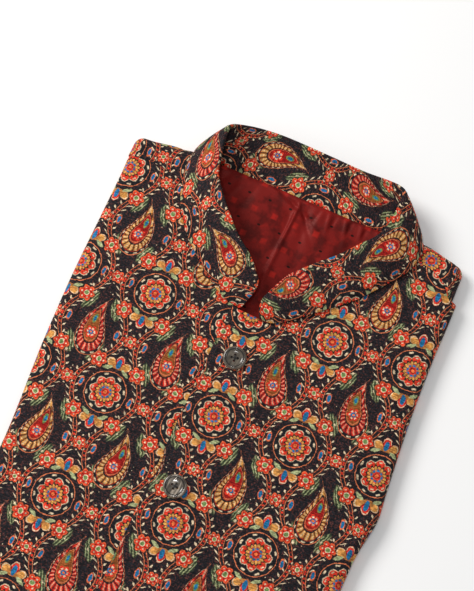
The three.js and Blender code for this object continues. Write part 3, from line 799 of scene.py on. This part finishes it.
STITCH = 2.6
STITCH_GAP = 1.1
STITCH_RADIUS = 0.2
STITCH_SIDES = 5
STITCH_INSET = 3.2  # distance of a row of stitches from the edge
STITCH_LIFT = 0.1
STITCH_POINTS = np.array([0, 0.2, 0.8, 1]) * STITCH


def inset_row(grid, distance):
    """Line on a grid at a distance from the first point of each of its rows."""
    return np.array([at_length(row, distance) for row in grid])


def stitches(line):
    """Short lengths of thread along a line."""
    starts = np.arange(STITCH_GAP, run_along(line)[-1] - STITCH, STITCH + STITCH_GAP)
    return [tube(at_length(line, start + STITCH_POINTS), STITCH_RADIUS, STITCH_SIDES) for start in starts]


def front_stitches(grid, side):
    """Rows of stitches along a front's hem and armhole, and along the lap of the upper one."""
    raised = grid + grid_normals(grid) * STITCH_LIFT
    raised[..., 2] = np.maximum(raised[..., 2], STITCH_RADIUS)
    outward = raised[:, ::side]
    hem = inset_row(outward.transpose(1, 0, 2), STITCH_INSET)
    hem = hem[side * hem[:, 0] > -LAP + STITCH_INSET]
    armhole = inset_row(outward[::-1].transpose(1, 0, 2), STITCH_INSET)
    armhole = armhole[(np.arange(len(armhole)) > len(armhole) * 0.6) & (armhole[:, 2] < ROLL * 0.6)]
    lines = [hem, armhole]
    if side > 0:
        lines.append(inset_row(outward, STITCH_INSET)[3:-1])
    return joined_parts([part for line in lines for part in stitches(line)])


def collar_stitches(outward):
    """Row of stitches under the collar's edge, on one wall."""
    share = band_shares()[4:-4]
    _, full_height, height = band_sizes(share)
    offset = outward * (BAND + BAND_GAP / 2 + STITCH_LIFT)
    return joined_parts(stitches(band_surface(share, (height - STITCH_INSET) / full_height, offset)))


# Materials.

class Field:
    """A number that varies over a surface: one node's output, with arithmetic."""

    def __init__(self, paint, socket):
        self.paint = paint
        self.socket = socket

    def math(self, operation, *others):
        feeds = dict(enumerate((self, *others)))
        return Field(self.paint, self.paint.node("ShaderNodeMath", feeds, operation=operation).outputs[0])

    __add__ = partialmethod(math, "ADD")
    __sub__ = partialmethod(math, "SUBTRACT")
    __mul__ = partialmethod(math, "MULTIPLY")
    __truediv__ = partialmethod(math, "DIVIDE")
    __abs__ = partialmethod(math, "ABSOLUTE")
    sin = partialmethod(math, "SINE")
    cos = partialmethod(math, "COSINE")
    most = partialmethod(math, "MAXIMUM")
    power = partialmethod(math, "POWER")
    rounded = partialmethod(math, "ROUND")
    angle_over = partialmethod(math, "ARCTAN2")
    odd = partialmethod(math, "FLOORED_MODULO", 2.0)  # 1 for odd whole numbers, 0 for even ones

    def repeat(self, period):
        """Signed distance from the nearest multiple of a period."""
        return self - (self / period).rounded() * period

    def ramp(self, start, end, low=0.0, high=1.0):
        """Smooth change from low to high between two values."""
        feeds = {"Value": self, "From Min": start, "From Max": end, "To Min": low, "To Max": high}
        node = self.paint.node("ShaderNodeMapRange", feeds, interpolation_type="SMOOTHSTEP")
        return Field(self.paint, node.outputs["Result"])

    def below(self, edge, soft):
        return self.ramp(edge - soft, edge + soft, 1.0, 0.0)

    def above(self, edge, soft):
        return self.ramp(edge - soft, edge + soft)

    def near(self, value, half, soft):
        return abs(self - value).below(half, soft)


def length_of(x, y):
    return (x * x + y * y).math("SQRT")


class Paint:
    """One material's nodes: fields from the cloth coordinates, and colours laid one over another."""

    def __init__(self, name, colour):
        self.material = bpy.data.materials.new(name)
        self.material.use_nodes = True
        self.tree = self.material.node_tree
        self.shader = self.tree.nodes["Principled BSDF"]
        self.colour = colour

    def feed(self, slot, value):
        """Links an input to a field or an output, or sets it to a number or colour."""
        value = value.socket if isinstance(value, Field) else value
        if isinstance(value, bpy.types.NodeSocket):
            self.tree.links.new(value, slot)
        else:
            slot.default_value = (*value, 1.0) if isinstance(value, tuple) else value

    def node(self, kind, feeds, **settings):
        node = self.tree.nodes.new(kind)
        for name, value in settings.items():
            setattr(node, name, value)
        for name, value in feeds.items():
            self.feed(node.inputs[name], value)
        return node

    def split(self, kind, output):
        """The parts of a vector or a colour, as fields."""
        return [Field(self, part) for part in self.node(kind, {0: output}).outputs]

    def texture(self, kind, x, y, size, **feeds):
        """A texture with features of a size, and the parts of its colour."""
        place = self.node("ShaderNodeCombineXYZ", {0: x, 1: y}).outputs[0]
        node = self.node(kind, {"Vector": place, "Scale": 1.0 / size, **feeds})
        return node, self.split("ShaderNodeSeparateColor", node.outputs["Color"])

    def cloth(self):
        """Cloth coordinates in millimetres."""
        layer = self.node("ShaderNodeUVMap", {}, uv_map="cloth")
        u, v, _ = self.split("ShaderNodeSeparateXYZ", layer.outputs["UV"])
        return u * 1000.0, v * 1000.0

    def noise(self, x, y, size, detail=2.0, rough=0.5):
        """Soft noise, as three fields."""
        return self.texture("ShaderNodeTexNoise", x, y, size, Detail=detail, Roughness=rough)[1]

    def specks(self, x, y, size):
        """Distance from scattered points about a size apart, and a number for each."""
        node, parts = self.texture("ShaderNodeTexVoronoi", x, y, size)
        return Field(self, node.outputs["Distance"]) * size, parts[0]

    def over(self, colour, mask, layer, blend="MIX"):
        """A colour laid over another where a mask is 1."""
        feeds = {0: mask, 6: colour, 7: layer}
        return self.node("ShaderNodeMix", feeds, data_type="RGBA", blend_type=blend).outputs[2]

    def lay(self, *layers, shown=None):
        """Lays colours on the surface in turn, each where its mask is 1 and so is the shown field."""
        for mask, layer in layers:
            self.colour = self.over(self.colour, mask if shown is None else mask * shown, layer)

    def shade(self, field):
        """Multiplies the colour by a field."""
        grey = self.node("ShaderNodeCombineColor", dict.fromkeys(range(3), field)).outputs[0]
        self.colour = self.over(self.colour, 1.0, grey, blend="MULTIPLY")

    def bump(self, height, distance, strength):
        feeds = {"Strength": strength, "Distance": distance * MM, "Height": height}
        self.feed(self.shader.inputs["Normal"], self.node("ShaderNodeBump", feeds).outputs[0])

    def finish(self, **values):
        """The material, once the shader has the colour and these values."""
        for name, value in {"Base_Color": self.colour, **values}.items():
            self.feed(self.shader.inputs[name.replace("_", " ")], value)
        return self.material


# Colours of the print, in linear light.
GROUND = (0.0158, 0.0158, 0.0192)
SPECKLE = (0.120, 0.040, 0.034)
CORAL = (0.72, 0.045, 0.022)
RED = (0.33, 0.014, 0.012)
ORANGE = (0.80, 0.17, 0.055)
GOLD = (0.72, 0.34, 0.085)
OCHRE = (0.30, 0.085, 0.022)
CREAM = (0.78, 0.61, 0.40)
GREEN = (0.17, 0.27, 0.085)
PALE_GREEN = (0.40, 0.44, 0.22)
BLUE = (0.018, 0.16, 0.34)
VINE = (0.72, 0.20, 0.085)

# Layout of the print: ogees between swaying vines, rosettes and paisleys in alternate columns.
PITCH = 34.0
REPEAT = 90.0
SWAY = 10.5
PRINT_SCALE = 0.95  # size of the printed pattern on the cloth


def petals(x, y, count, radius, depth):
    """Distance from a flower's middle as a share of its petalled edge, and the angle's wave."""
    wave = abs((y.angle_over(x) * (count / 2)).cos())
    return length_of(x, y) / (wave * (radius * depth) + radius * (1 - depth)), wave


def leaf_shape(x, y, half_length, half_width):
    """A pointed leaf, as a field that is 1 on its edge."""
    return abs(x) / half_length + (y / half_width) * (y / half_width)


def small_flower(paint, x, y, radius):
    share, wave = petals(x, y, 6, radius, 0.3)
    away = length_of(x, y)
    paint.lay(
        (share.below(1.1, 0.06), GROUND),
        (share.below(1.0, 0.07), CORAL),
        (share.near(0.93, 0.05, 0.05), ORANGE),
        (wave.below(0.34, 0.14) * share.below(0.86, 0.05), RED),
        (away.near(radius * 0.62, 0.5, 0.25) * wave.above(0.9, 0.06), CREAM),
        (away.below(radius * 0.34, 0.2), CREAM),
        (away.below(radius * 0.24, 0.2), GREEN),
        (away.near(radius * 1.16, 0.45, 0.25) * wave.below(0.35, 0.15), CREAM),
    )


def rosette(paint, x, y, shown):
    share, wave = petals(x, y, 8, 13.4, 0.2)
    away = length_of(x, y)
    inner, inner_wave = petals(x, y, 16, 9.0, 0.2)
    heart, _ = petals(x, y, 8, 5.8, 0.3)
    paint.lay(
        (away.below(17.6, 0.3), GROUND),
        (away.near(17.0, 0.32, 0.2), VINE),
        (away.near(15.0, 0.7, 0.3) * wave.below(0.42, 0.15), CREAM),
        (share.below(1.0, 0.035), CREAM),
        (share.below(0.95, 0.03), CORAL),
        (wave.below(0.36, 0.12) * share.below(0.92, 0.03), OCHRE),
        (away.near(11.0, 0.5, 0.3) * wave.above(0.9, 0.05), CREAM),
        (inner.below(1.02, 0.04), GROUND),
        (inner.below(0.88, 0.04), GOLD),
        (inner_wave.below(0.4, 0.2) * inner.below(0.86, 0.04), OCHRE),
        (heart.below(1.0, 0.06), CORAL),
        (away.near(4.2, 0.9, 0.25) * wave.above(0.55, 0.1), BLUE),
        (away.near(4.2, 0.8, 0.25) * wave.below(0.3, 0.1), GREEN),
        (away.below(2.3, 0.25), RED),
        (away.below(1.5, 0.2), ORANGE),
        shown=shown,
    )


def paisley(paint, x, y, golden, shown):
    """Bent drop with nested bands. Golden is 1 for a gold body and 0 for a red one."""
    half_length, half_width, narrowing, bend = 22.0, 14.0, 1.35, 7.5
    t = y / half_length
    x = x - t.most(0.0).power(2.0) * bend
    taper = (t * -0.5 + 0.5).most(0.02).power(narrowing)
    level = t * t + x * x / (taper * half_width**2)
    around = (y + 6.0).angle_over(x)
    streak = (around * 19.0 + (level * 3.0).sin()).sin()
    body = paint.over(CORAL, golden, GOLD)
    body = paint.over(body, streak.above(0.25, 0.4) * 0.9, paint.over(RED, golden, OCHRE))
    body = paint.over(body, streak.above(0.80, 0.12) * 0.7, GROUND)
    body = paint.over(body, streak.below(-0.70, 0.2) * 0.5, CREAM)
    share, wave = petals(x, y + 5.5, 6, 5.4, 0.32)
    away = length_of(x, y + 5.5)
    bud = length_of(x * 2.1, y - 6.0)
    paint.lay(
        (level.below(1.36, 0.04), GROUND),
        (level.near(1.29, 0.035, 0.025), VINE),
        (level.near(1.15, 0.05, 0.04) * (around * 15.0).cos().above(0.25, 0.3), CREAM),
        (level.below(1.0, 0.03), body),
        (level.near(0.98, 0.03, 0.03), RED),
        (level.near(0.46, 0.045, 0.02), GROUND),
        (level.below(0.42, 0.03), paint.over(OCHRE, golden, RED)),
        (level.near(0.36, 0.02, 0.02), VINE),
        (share.below(1.0, 0.08), CORAL),
        (away.near(3.0, 0.6, 0.25) * wave.above(0.6, 0.1), CREAM),
        (away.below(2.1, 0.2), BLUE),
        (away.below(1.0, 0.2), ORANGE),
        (bud.below(4.0, 0.4), GREEN),
        (bud.below(2.4, 0.3), BLUE),
        shown=shown,
    )


def lotus_fan(paint, x, y, shown):
    """Five petals that open away from the rosette, over a pair of leaves."""
    angle = x.angle_over(y)
    wave = abs((angle * 3.2).cos())
    facing = abs(angle).below(1.35, 0.06)
    share = length_of(x, y) / (wave * 4.6 + 7.4)
    petal = share.below(1.0, 0.05) * facing
    leaf = leaf_shape(*turn_of(abs(x) - 7.5, y + 0.5, -28), 5.2, 1.9)
    paint.lay(
        (share.below(1.12, 0.05) * facing, GROUND),
        (petal, CORAL),
        (petal * (angle / 0.98).rounded().odd() * 0.95, GOLD),
        (petal * share.below(0.55, 0.2) * 0.6, OCHRE),
        (share.near(0.95, 0.035, 0.03) * facing, CREAM),
        (wave.below(0.25, 0.12) * petal, RED),
        (length_of(x * 2.1, y - 5.0).below(4.2, 0.4), BLUE),
        (leaf.below(0.8, 0.12), PALE_GREEN),
        shown=shown,
    )


def leafy_vine(paint, x, y):
    """Swaying double stem between two ogees, with berries in it and leaflets along it."""
    sway = (y * (2 * math.pi / REPEAT)).cos() * SWAY + PITCH / 2
    beside = abs(x) - sway
    leaf = leaf_shape(*turn_of(abs(beside) - 3.9, y.repeat(5.2), 42), 2.1, 0.62)
    berried = (y * (4 * math.pi / REPEAT)).cos().above(0.1, 0.15)
    paint.lay(
        (leaf.below(0.95, 0.25), CREAM),
        (length_of(beside, y.repeat(3.4)).below(0.85, 0.25) * berried, CORAL),
        (abs(beside).near(1.55, 0.30, 0.16), VINE),
    )


def brush_leaf(paint, x, y, shown, grain):
    """Loose brushed leaf in pale green."""
    leaf_x, leaf_y = turn_of(x, y, 24)
    brushed = leaf_shape(leaf_x, leaf_y, 5.0, 10.5).below(0.85, 0.25)
    hairs = ((leaf_x + grain * 3.0) * 2.7).sin()
    paint.lay((brushed * 0.18, GREEN), (brushed * hairs.above(0.45, 0.35) * 0.9, PALE_GREEN), shown=shown)


def lay_print(paint, u, v):
    """The whole printed pattern over the cloth, with its painted edges."""
    u, v = u / PRINT_SCALE, v / PRINT_SCALE
    drift = paint.noise(u, v, 5.0, detail=3.0, rough=0.62)
    ragged = paint.noise(u, v, 1.5, detail=1.0)
    u = u + (drift[0] - 0.5) * 2.0 + (ragged[0] - 0.5) * 1.1
    v = v + (drift[1] - 0.5) * 2.0 + (ragged[1] - 0.5) * 1.1
    column = (u / PITCH).rounded()
    paisleys = column.odd()
    rosettes = paisleys * -1.0 + 1.0
    x = u - column * PITCH
    dropped = v + paisleys * (REPEAT / 2)
    row = (dropped / REPEAT).rounded()
    y = dropped - row * REPEAT
    mirror = row.odd() * -2.0 + 1.0
    waist = abs(y) - REPEAT / 2
    drop = length_of((abs(x) - 12.6) / 2.0, waist / 4.2)

    fine, fine_number = paint.specks(u, v, 2.6)
    coarse, coarse_number = paint.specks(u, v, 8.5)
    paint.lay(
        (ragged[2].above(0.56, 0.07) * drift[2].ramp(0.36, 0.62, 0.15, 0.8), SPECKLE),
        (fine.below(0.5, 0.3) * fine_number.above(0.5, 0.02), SPECKLE),
        (fine.below(0.4, 0.2) * fine_number.below(0.08, 0.01), CREAM),
        (coarse.below(0.45, 0.2) * coarse_number.above(0.5, 0.02), CREAM),
    )
    leafy_vine(paint, x, y)
    paint.lay((drop.below(1.0, 0.12), ORANGE), (drop.below(0.72, 0.1), BLUE))
    brush_leaf(paint, abs(x) - 11.5, abs(y) - 19.0, paisleys, drift[0])
    small_flower(paint, abs(x) - PITCH / 2, abs(y) - REPEAT / 4, 7.0)
    small_flower(paint, x, waist, 5.4)
    lotus_fan(paint, x, abs(y) - 20.0, rosettes)
    rosette(paint, x, y, rosettes)
    paisley(paint, *turn_of(x * mirror, y, 12), row.odd(), paisleys)


def printed_cloth():
    """Matt woven cloth with the print."""
    paint = Paint("printed_cloth", GROUND)
    u, v = paint.cloth()
    lay_print(paint, u, v)
    slub = paint.noise(u * 0.22, v, 0.9, detail=1.0)[0]
    wear = paint.noise(u, v, 1.3)[1]
    paint.shade(slub.ramp(0.25, 0.75, 0.54, 1.30) * wear.ramp(0.2, 0.8, 0.54, 1.32))
    threads = (u * (2 * math.pi / 0.8)).sin() * (v * (2 * math.pi / 0.8)).sin()
    paint.bump(threads * 0.35 + slub, 0.16, 0.6)
    return paint.finish(
        Roughness=wear.ramp(0.2, 0.8, 0.62, 0.82),
        Sheen_Weight=0.03,
        Sheen_Roughness=0.4,
        Sheen_Tint=(0.85, 0.75, 0.72),
        Specular_IOR_Level=0.07,
    )


# Satin colours: the bright one serves both the woven squares and the painted sheen, and the deep one is
# painted shade.
SATIN = (0.172, 0.0092, 0.0080)
SATIN_PAINTED_SHADE = (0.052, 0.004, 0.004)
SATIN_SQUARE_AND_SHEEN = (0.36, 0.014, 0.010)
SATIN_DOT = (0.004, 0.002, 0.002)
SATIN_PITCH = 17.6
SATIN_ROWS = 22.0


def satin():
    """Dark red satin with rows of small black dots, a brighter square between each four, and soft clouds of
    painted sheen and painted shade.
    """
    paint = Paint("satin_lining", SATIN)
    x, y = paint.cloth()
    column, row = x - 7.0, y - 13.0
    sheen_and_tone_clouds = paint.noise(x, y, 16.0, detail=3.0, rough=0.6)
    square_x = abs((column + SATIN_PITCH / 2).repeat(SATIN_PITCH))
    square_y = abs((row + SATIN_ROWS / 2).repeat(SATIN_ROWS))
    square = square_x.most(square_y).below(2.3, 0.9)
    dot = length_of(column.repeat(SATIN_PITCH) / 1.6, row.repeat(SATIN_ROWS))
    paint.lay(
        # painted sheen: soft lighter clouds; painted shade: soft darker clouds
        (sheen_and_tone_clouds[0].ramp(0.50, 0.72, 0.0, 0.42), SATIN_SQUARE_AND_SHEEN),
        (sheen_and_tone_clouds[1].ramp(0.46, 0.66, 0.0, 0.8), SATIN_PAINTED_SHADE),
        (square * sheen_and_tone_clouds[2].ramp(0.40, 0.60, 0.12, 0.9), SATIN_SQUARE_AND_SHEEN),
        (dot.below(0.85, 0.22), SATIN_DOT),
    )
    twill = ((x + y) * (2 * math.pi / 0.6)).sin()
    fine = paint.noise(x * 0.3, y, 1.2)[0]
    paint.bump(twill * 0.2 + fine, 0.1, 0.5)
    return paint.finish(
        Roughness=fine.ramp(0.2, 0.8, 0.36, 0.50),
        Sheen_Weight=0.02,
        Sheen_Roughness=0.35,
        Sheen_Tint=(1.0, 0.35, 0.32),
        Specular_IOR_Level=0.28,
        Specular_Tint=(1.0, 0.32, 0.28),
    )


def smoky_button(name, streak_and_reflection):
    """Smoky plastic with horn-like streaks, painted shade in the groove inside the rim, and a painted
    highlight on the outer edge; on the pale buttons the streaks also stand for painted reflection.
    """
    paint = Paint(name, (0.040, 0.030, 0.021))
    x, y = paint.cloth()
    from_middle = length_of(x, y)
    mottle = paint.noise(x, y, 4.5, detail=3.0, rough=0.6)[0]
    streak = paint.noise(x * 0.9, y * 0.16, 1.9)[0]
    scratch = paint.noise(x * 0.2, y, 0.5)[1]
    paint.lay(
        (mottle.ramp(0.36, 0.66), (0.105, 0.085, 0.062)),
        # pale streaks: partly horn-like grain, and on the pale buttons also painted reflection of the
        # surroundings
        (streak.ramp(0.48, 0.66, 0.0, streak_and_reflection), (0.42, 0.35, 0.28)),
        # painted shade: a near-black ring in the groove inside the rim
        (from_middle.near(GROOVE_SHADE_AT, 0.42, 0.25) * 0.9, (0.006, 0.005, 0.004)),
        # painted highlight: a lighter ring on the outer edge of the rim
        (from_middle.above(RIM_HIGHLIGHT_AT, 0.15) * 0.7, (0.24, 0.19, 0.14)),
    )
    return paint.finish(
        Roughness=scratch.ramp(0.3, 0.8, 0.16, 0.3),
        Coat_Weight=0.6,
        Coat_Roughness=0.06,
        Specular_IOR_Level=0.4,
    )


def thread():
    """Dark sewing thread with a fine twist."""
    paint = Paint("dark_thread", (0.010, 0.009, 0.009))
    u, v = paint.cloth()
    twist = ((u + v) * (2 * math.pi / 0.5)).sin()
    paint.lay((twist.above(0.2, 0.5), (0.045, 0.038, 0.036)))
    paint.bump(twist, 0.06, 0.6)
    return paint.finish(Roughness=0.62, Specular_IOR_Level=0.3, Sheen_Weight=0.2)


# Buttons.

BUTTON_TURNS = (-33, 34, 12, -21, 50)  # degrees by which each button's four holes are turned
# radii of the painted shade in the groove and of the painted highlight on the rim's outer edge
GROOVE_SHADE_AT = 6.75
RIM_HIGHLIGHT_AT = 8.55
PALE_BUTTONS = (2, 5)
HOLE_RADIUS = 0.95
HOLE_REACH = 2.3
HOLE_SIDES = 20
CUTTER_LEVELS = (-2.0, 2.0, 6.0)
SHARP_ANGLE = 50
THREAD_RADIUS = 0.27
THREAD_FLOOR = 0.58  # share of a button's height at which its dished face lies
THREAD_DEPTH = 1.6  # how far the threads go down into the holes
THREAD_ARCHES = (1.95, 2.3)  # rise of the lower and the upper bundle
STRANDS = (-0.3, 0.3)  # places of a bundle's threads beside its middle
# Section of a button from its middle out: share of the radius, share of the height.
BUTTON_SECTION = table(
    "r z",
    (0, 0.0), (0.72, 0.0), (0.93, 0.10), (0.995, 0.30), (1.0, 0.45), (0.985, 0.68), (0.955, 0.84),
    (0.92, 0.93), (0.875, 0.985), (0.835, 1.0), (0.80, 0.97), (0.775, 0.90), (0.755, 0.83), (0.735, 0.80),
    (0.715, 0.82), (0.69, 0.80), (0.655, 0.72), (0.60, 0.655), (0.50, 0.615), (0.35, 0.59), (0.18, 0.58),
    (0, 0.575),
)
BUTTON_SIDES = 72


def button_disc():
    """Dished disc with a raised rim and a fine groove inside it, before its holes are cut."""
    angle = circle(BUTTON_SIDES)
    radius = BUTTON_SECTION["r"][:, None] * BUTTON_RADIUS
    height = BUTTON_SECTION["z"][:, None] * BUTTON_HEIGHT
    sides = np.broadcast_arrays(radius * np.cos(angle), radius * np.sin(angle), height)
    rings = np.stack(sides, axis=-1)
    points = np.concatenate([rings[0, :1], rings[1:-1].reshape(-1, 3), rings[-1, :1]])
    index = 1 + np.arange(len(points) - 2).reshape(-1, BUTTON_SIDES)
    return points, [*fan(0, index[0, ::-1]), *ring_faces(index), *fan(len(points) - 1, index[-1])]


def hole_places(turn):
    angle = np.radians(turn + 45 + 90 * np.arange(4))
    return np.column_stack([np.cos(angle), np.sin(angle)]) * HOLE_REACH


def cut_holes(disc, centre, turn):
    """Cuts the four holes through a button."""
    angle = circle(HOLE_SIDES)
    ring = np.column_stack([np.cos(angle), np.sin(angle), 0 * angle]) * HOLE_RADIUS + centre
    faces = capped_rings(len(CUTTER_LEVELS), HOLE_SIDES)
    cutters = []
    for x, y in hole_places(turn):
        points = np.concatenate([ring + (x, y, z) for z in CUTTER_LEVELS])
        cutters.append((points, faces, points[:, :2]))
    points, faces, _ = joined_parts(cutters)
    cutter = new_object("cutter", in_frame(points), faces)
    modifier = disc.modifiers.new("holes", "BOOLEAN")
    modifier.operation = "DIFFERENCE"
    modifier.solver = "EXACT"
    modifier.object = cutter
    bpy.context.view_layer.update()
    evaluated = disc.evaluated_get(bpy.context.evaluated_depsgraph_get())
    cut = bpy.data.meshes.new_from_object(evaluated)
    disc.modifiers.remove(modifier)
    uncut, disc.data = disc.data, cut
    tool = cutter.data
    bpy.data.objects.remove(cutter)
    for mesh in (uncut, tool):
        bpy.data.meshes.remove(mesh)
    cut.shade_smooth()
    cut.set_sharp_from_angle(angle=math.radians(SHARP_ANGLE))


def button_threads(centre, turn):
    """Two crossing bundles of thread through the holes, the second on top of the first."""
    share = np.linspace(0, 1, 15)[:, None]
    arch = np.sqrt(np.abs(np.sin(math.pi * share)))
    low = centre[2] + BUTTON_HEIGHT * THREAD_FLOOR - THREAD_DEPTH
    places = hole_places(turn)
    parts = []
    for pair, rise in enumerate(THREAD_ARCHES):
        direction = places[pair + 2] - places[pair]
        across = unit(np.array([-direction[1], direction[0]]))
        for strand in STRANDS:
            plan = centre[:2] + places[pair] + direction * share + across * strand
            parts.append(tube(np.hstack([plan, low + rise * arch]), THREAD_RADIUS))
    return joined_parts(parts)


def add_buttons(sewing):
    # the pale buttons get strong pale streaks, partly horn-like grain and partly painted reflection
    dark, pale = smoky_button("smoky_button", 0.12), smoky_button("pale_smoky_button", 0.8)
    points, faces = button_disc()
    for number, turn in enumerate(BUTTON_TURNS, 1):
        name = f"button_{number}"
        centre = middle_of(name) - ORIGIN
        plastic = pale if number in PALE_BUTTONS else dark
        disc = new_piece(f"{name}_disc", (points + centre, faces, points[:, :2]), (plastic, "button"), name)
        cut_holes(disc, centre, turn)
        new_piece(f"{name}_thread", button_threads(centre, turn), (sewing, "button"), name)


# Scene.

CAMERA_AZIMUTH = 24.4
CAMERA_ELEVATION = 74.0
CAMERA_DISTANCE = 1.15
CAMERA_TARGET = (-21.0, 0.0, 0.0)  # millimetres on the garment's axes
CAMERA_LENS = 89.8
WORLD_LIGHT = 0.44
# Place, aim, size, power and colour of each lamp: a soft one at the upper left, a small one for the gloss.
LAMPS = {
    "key": ((-1.45, 0.55, 1.25), (0, 0.15, 0), 0.95, 31.0, (1.0, 0.985, 0.96)),
    "glint": ((-0.06, -0.05, 1.7), (0, 0.1, 0), 0.2, 4.0, (1.0, 1.0, 1.0)),
}
FLOOR_HALF = 4.0
FLOOR_Z = -0.0005


def aimed(name, data, place, direction):
    """A camera or lamp in the scene, looking in a direction."""
    made = bpy.data.objects.new(name, data)
    bpy.context.scene.collection.objects.link(made)
    made.location = place
    made.rotation_mode = "QUATERNION"
    made.rotation_quaternion = direction.to_track_quat("-Z", "Y")
    return made


def add_camera():
    azimuth, elevation = math.radians(CAMERA_AZIMUTH), math.radians(CAMERA_ELEVATION)
    level = math.cos(elevation)
    back = Vector((math.sin(azimuth) * level, -math.cos(azimuth) * level, math.sin(elevation)))
    data = bpy.data.cameras.new("camera")
    data.lens = CAMERA_LENS
    data.sensor_width = 36.0
    data.clip_start = 0.05
    data.clip_end = 50.0
    place = Vector(in_frame(CAMERA_TARGET)[0]) + back * CAMERA_DISTANCE
    bpy.context.scene.camera = aimed("camera", data, place, -back)


def add_studio():
    """Pale floor, pale surroundings and two lamps."""
    corners = [(x * FLOOR_HALF, y * FLOOR_HALF, FLOOR_Z) for x, y in ((-1, -1), (1, -1), (1, 1), (-1, 1))]
    floor = new_object("floor", corners, [(0, 1, 2, 3)])
    paint = Paint("pale_floor", (0.95, 0.95, 0.95))
    floor.data.materials.append(paint.finish(Roughness=0.9, Specular_IOR_Level=0.1))
    world = bpy.data.worlds.new("studio")
    world.use_nodes = True
    background = world.node_tree.nodes["Background"]
    background.inputs["Color"].default_value = (1.0, 1.0, 1.0, 1.0)
    background.inputs["Strength"].default_value = WORLD_LIGHT
    bpy.context.scene.world = world
    bpy.context.scene.view_settings.view_transform = "Standard"  # white stays white, as on the cut-out
    for name, (place, aim, size, power, colour) in LAMPS.items():
        data = bpy.data.lights.new(name, "AREA")
        data.shape = "DISK"
        data.size = size
        data.energy = power
        data.color = colour
        aimed(name, data, place, Vector(aim) - Vector(place))


def add_sheet(name, parts, surface, node):
    """A piece of cloth, with its points that lie on one another welded."""
    piece = new_piece(name, parts, surface, node)
    weld(piece.data)


def add_cloth(sewing):
    printed, stitching = (printed_cloth(), "print_cloth"), (sewing, "print_cloth")
    lining = (satin(), "lining_satin")
    for side, hand in ((1, "left"), (-1, "right")):
        front, strip = f"front_{hand}", f"back_shoulder_{hand}"
        grid, cloth = front_grid(side)
        stitched = new_piece(f"{front}_stitches", front_stitches(grid, side), stitching, front)
        add_sheet(f"{front}_cloth", shell_parts(grid, cloth), printed, front)
        add_sheet(f"{strip}_cloth", shell_parts(*shoulder_grid(side)), printed, strip)
    add_sheet("back_cloth", back_parts(), printed, "back_and_folded_layers")
    add_sheet("lining_satin", lining_parts(), lining, "back_lining")
    for name, outward in (("collar_outer", 1), ("collar_inner", -1)):
        stitched = new_piece(f"{name}_stitches", collar_stitches(outward), stitching, name)
        add_sheet(f"{name}_cloth", collar_parts(outward), printed, name)


add_camera()
add_studio()
sewing = thread()
add_cloth(sewing)
add_buttons(sewing)
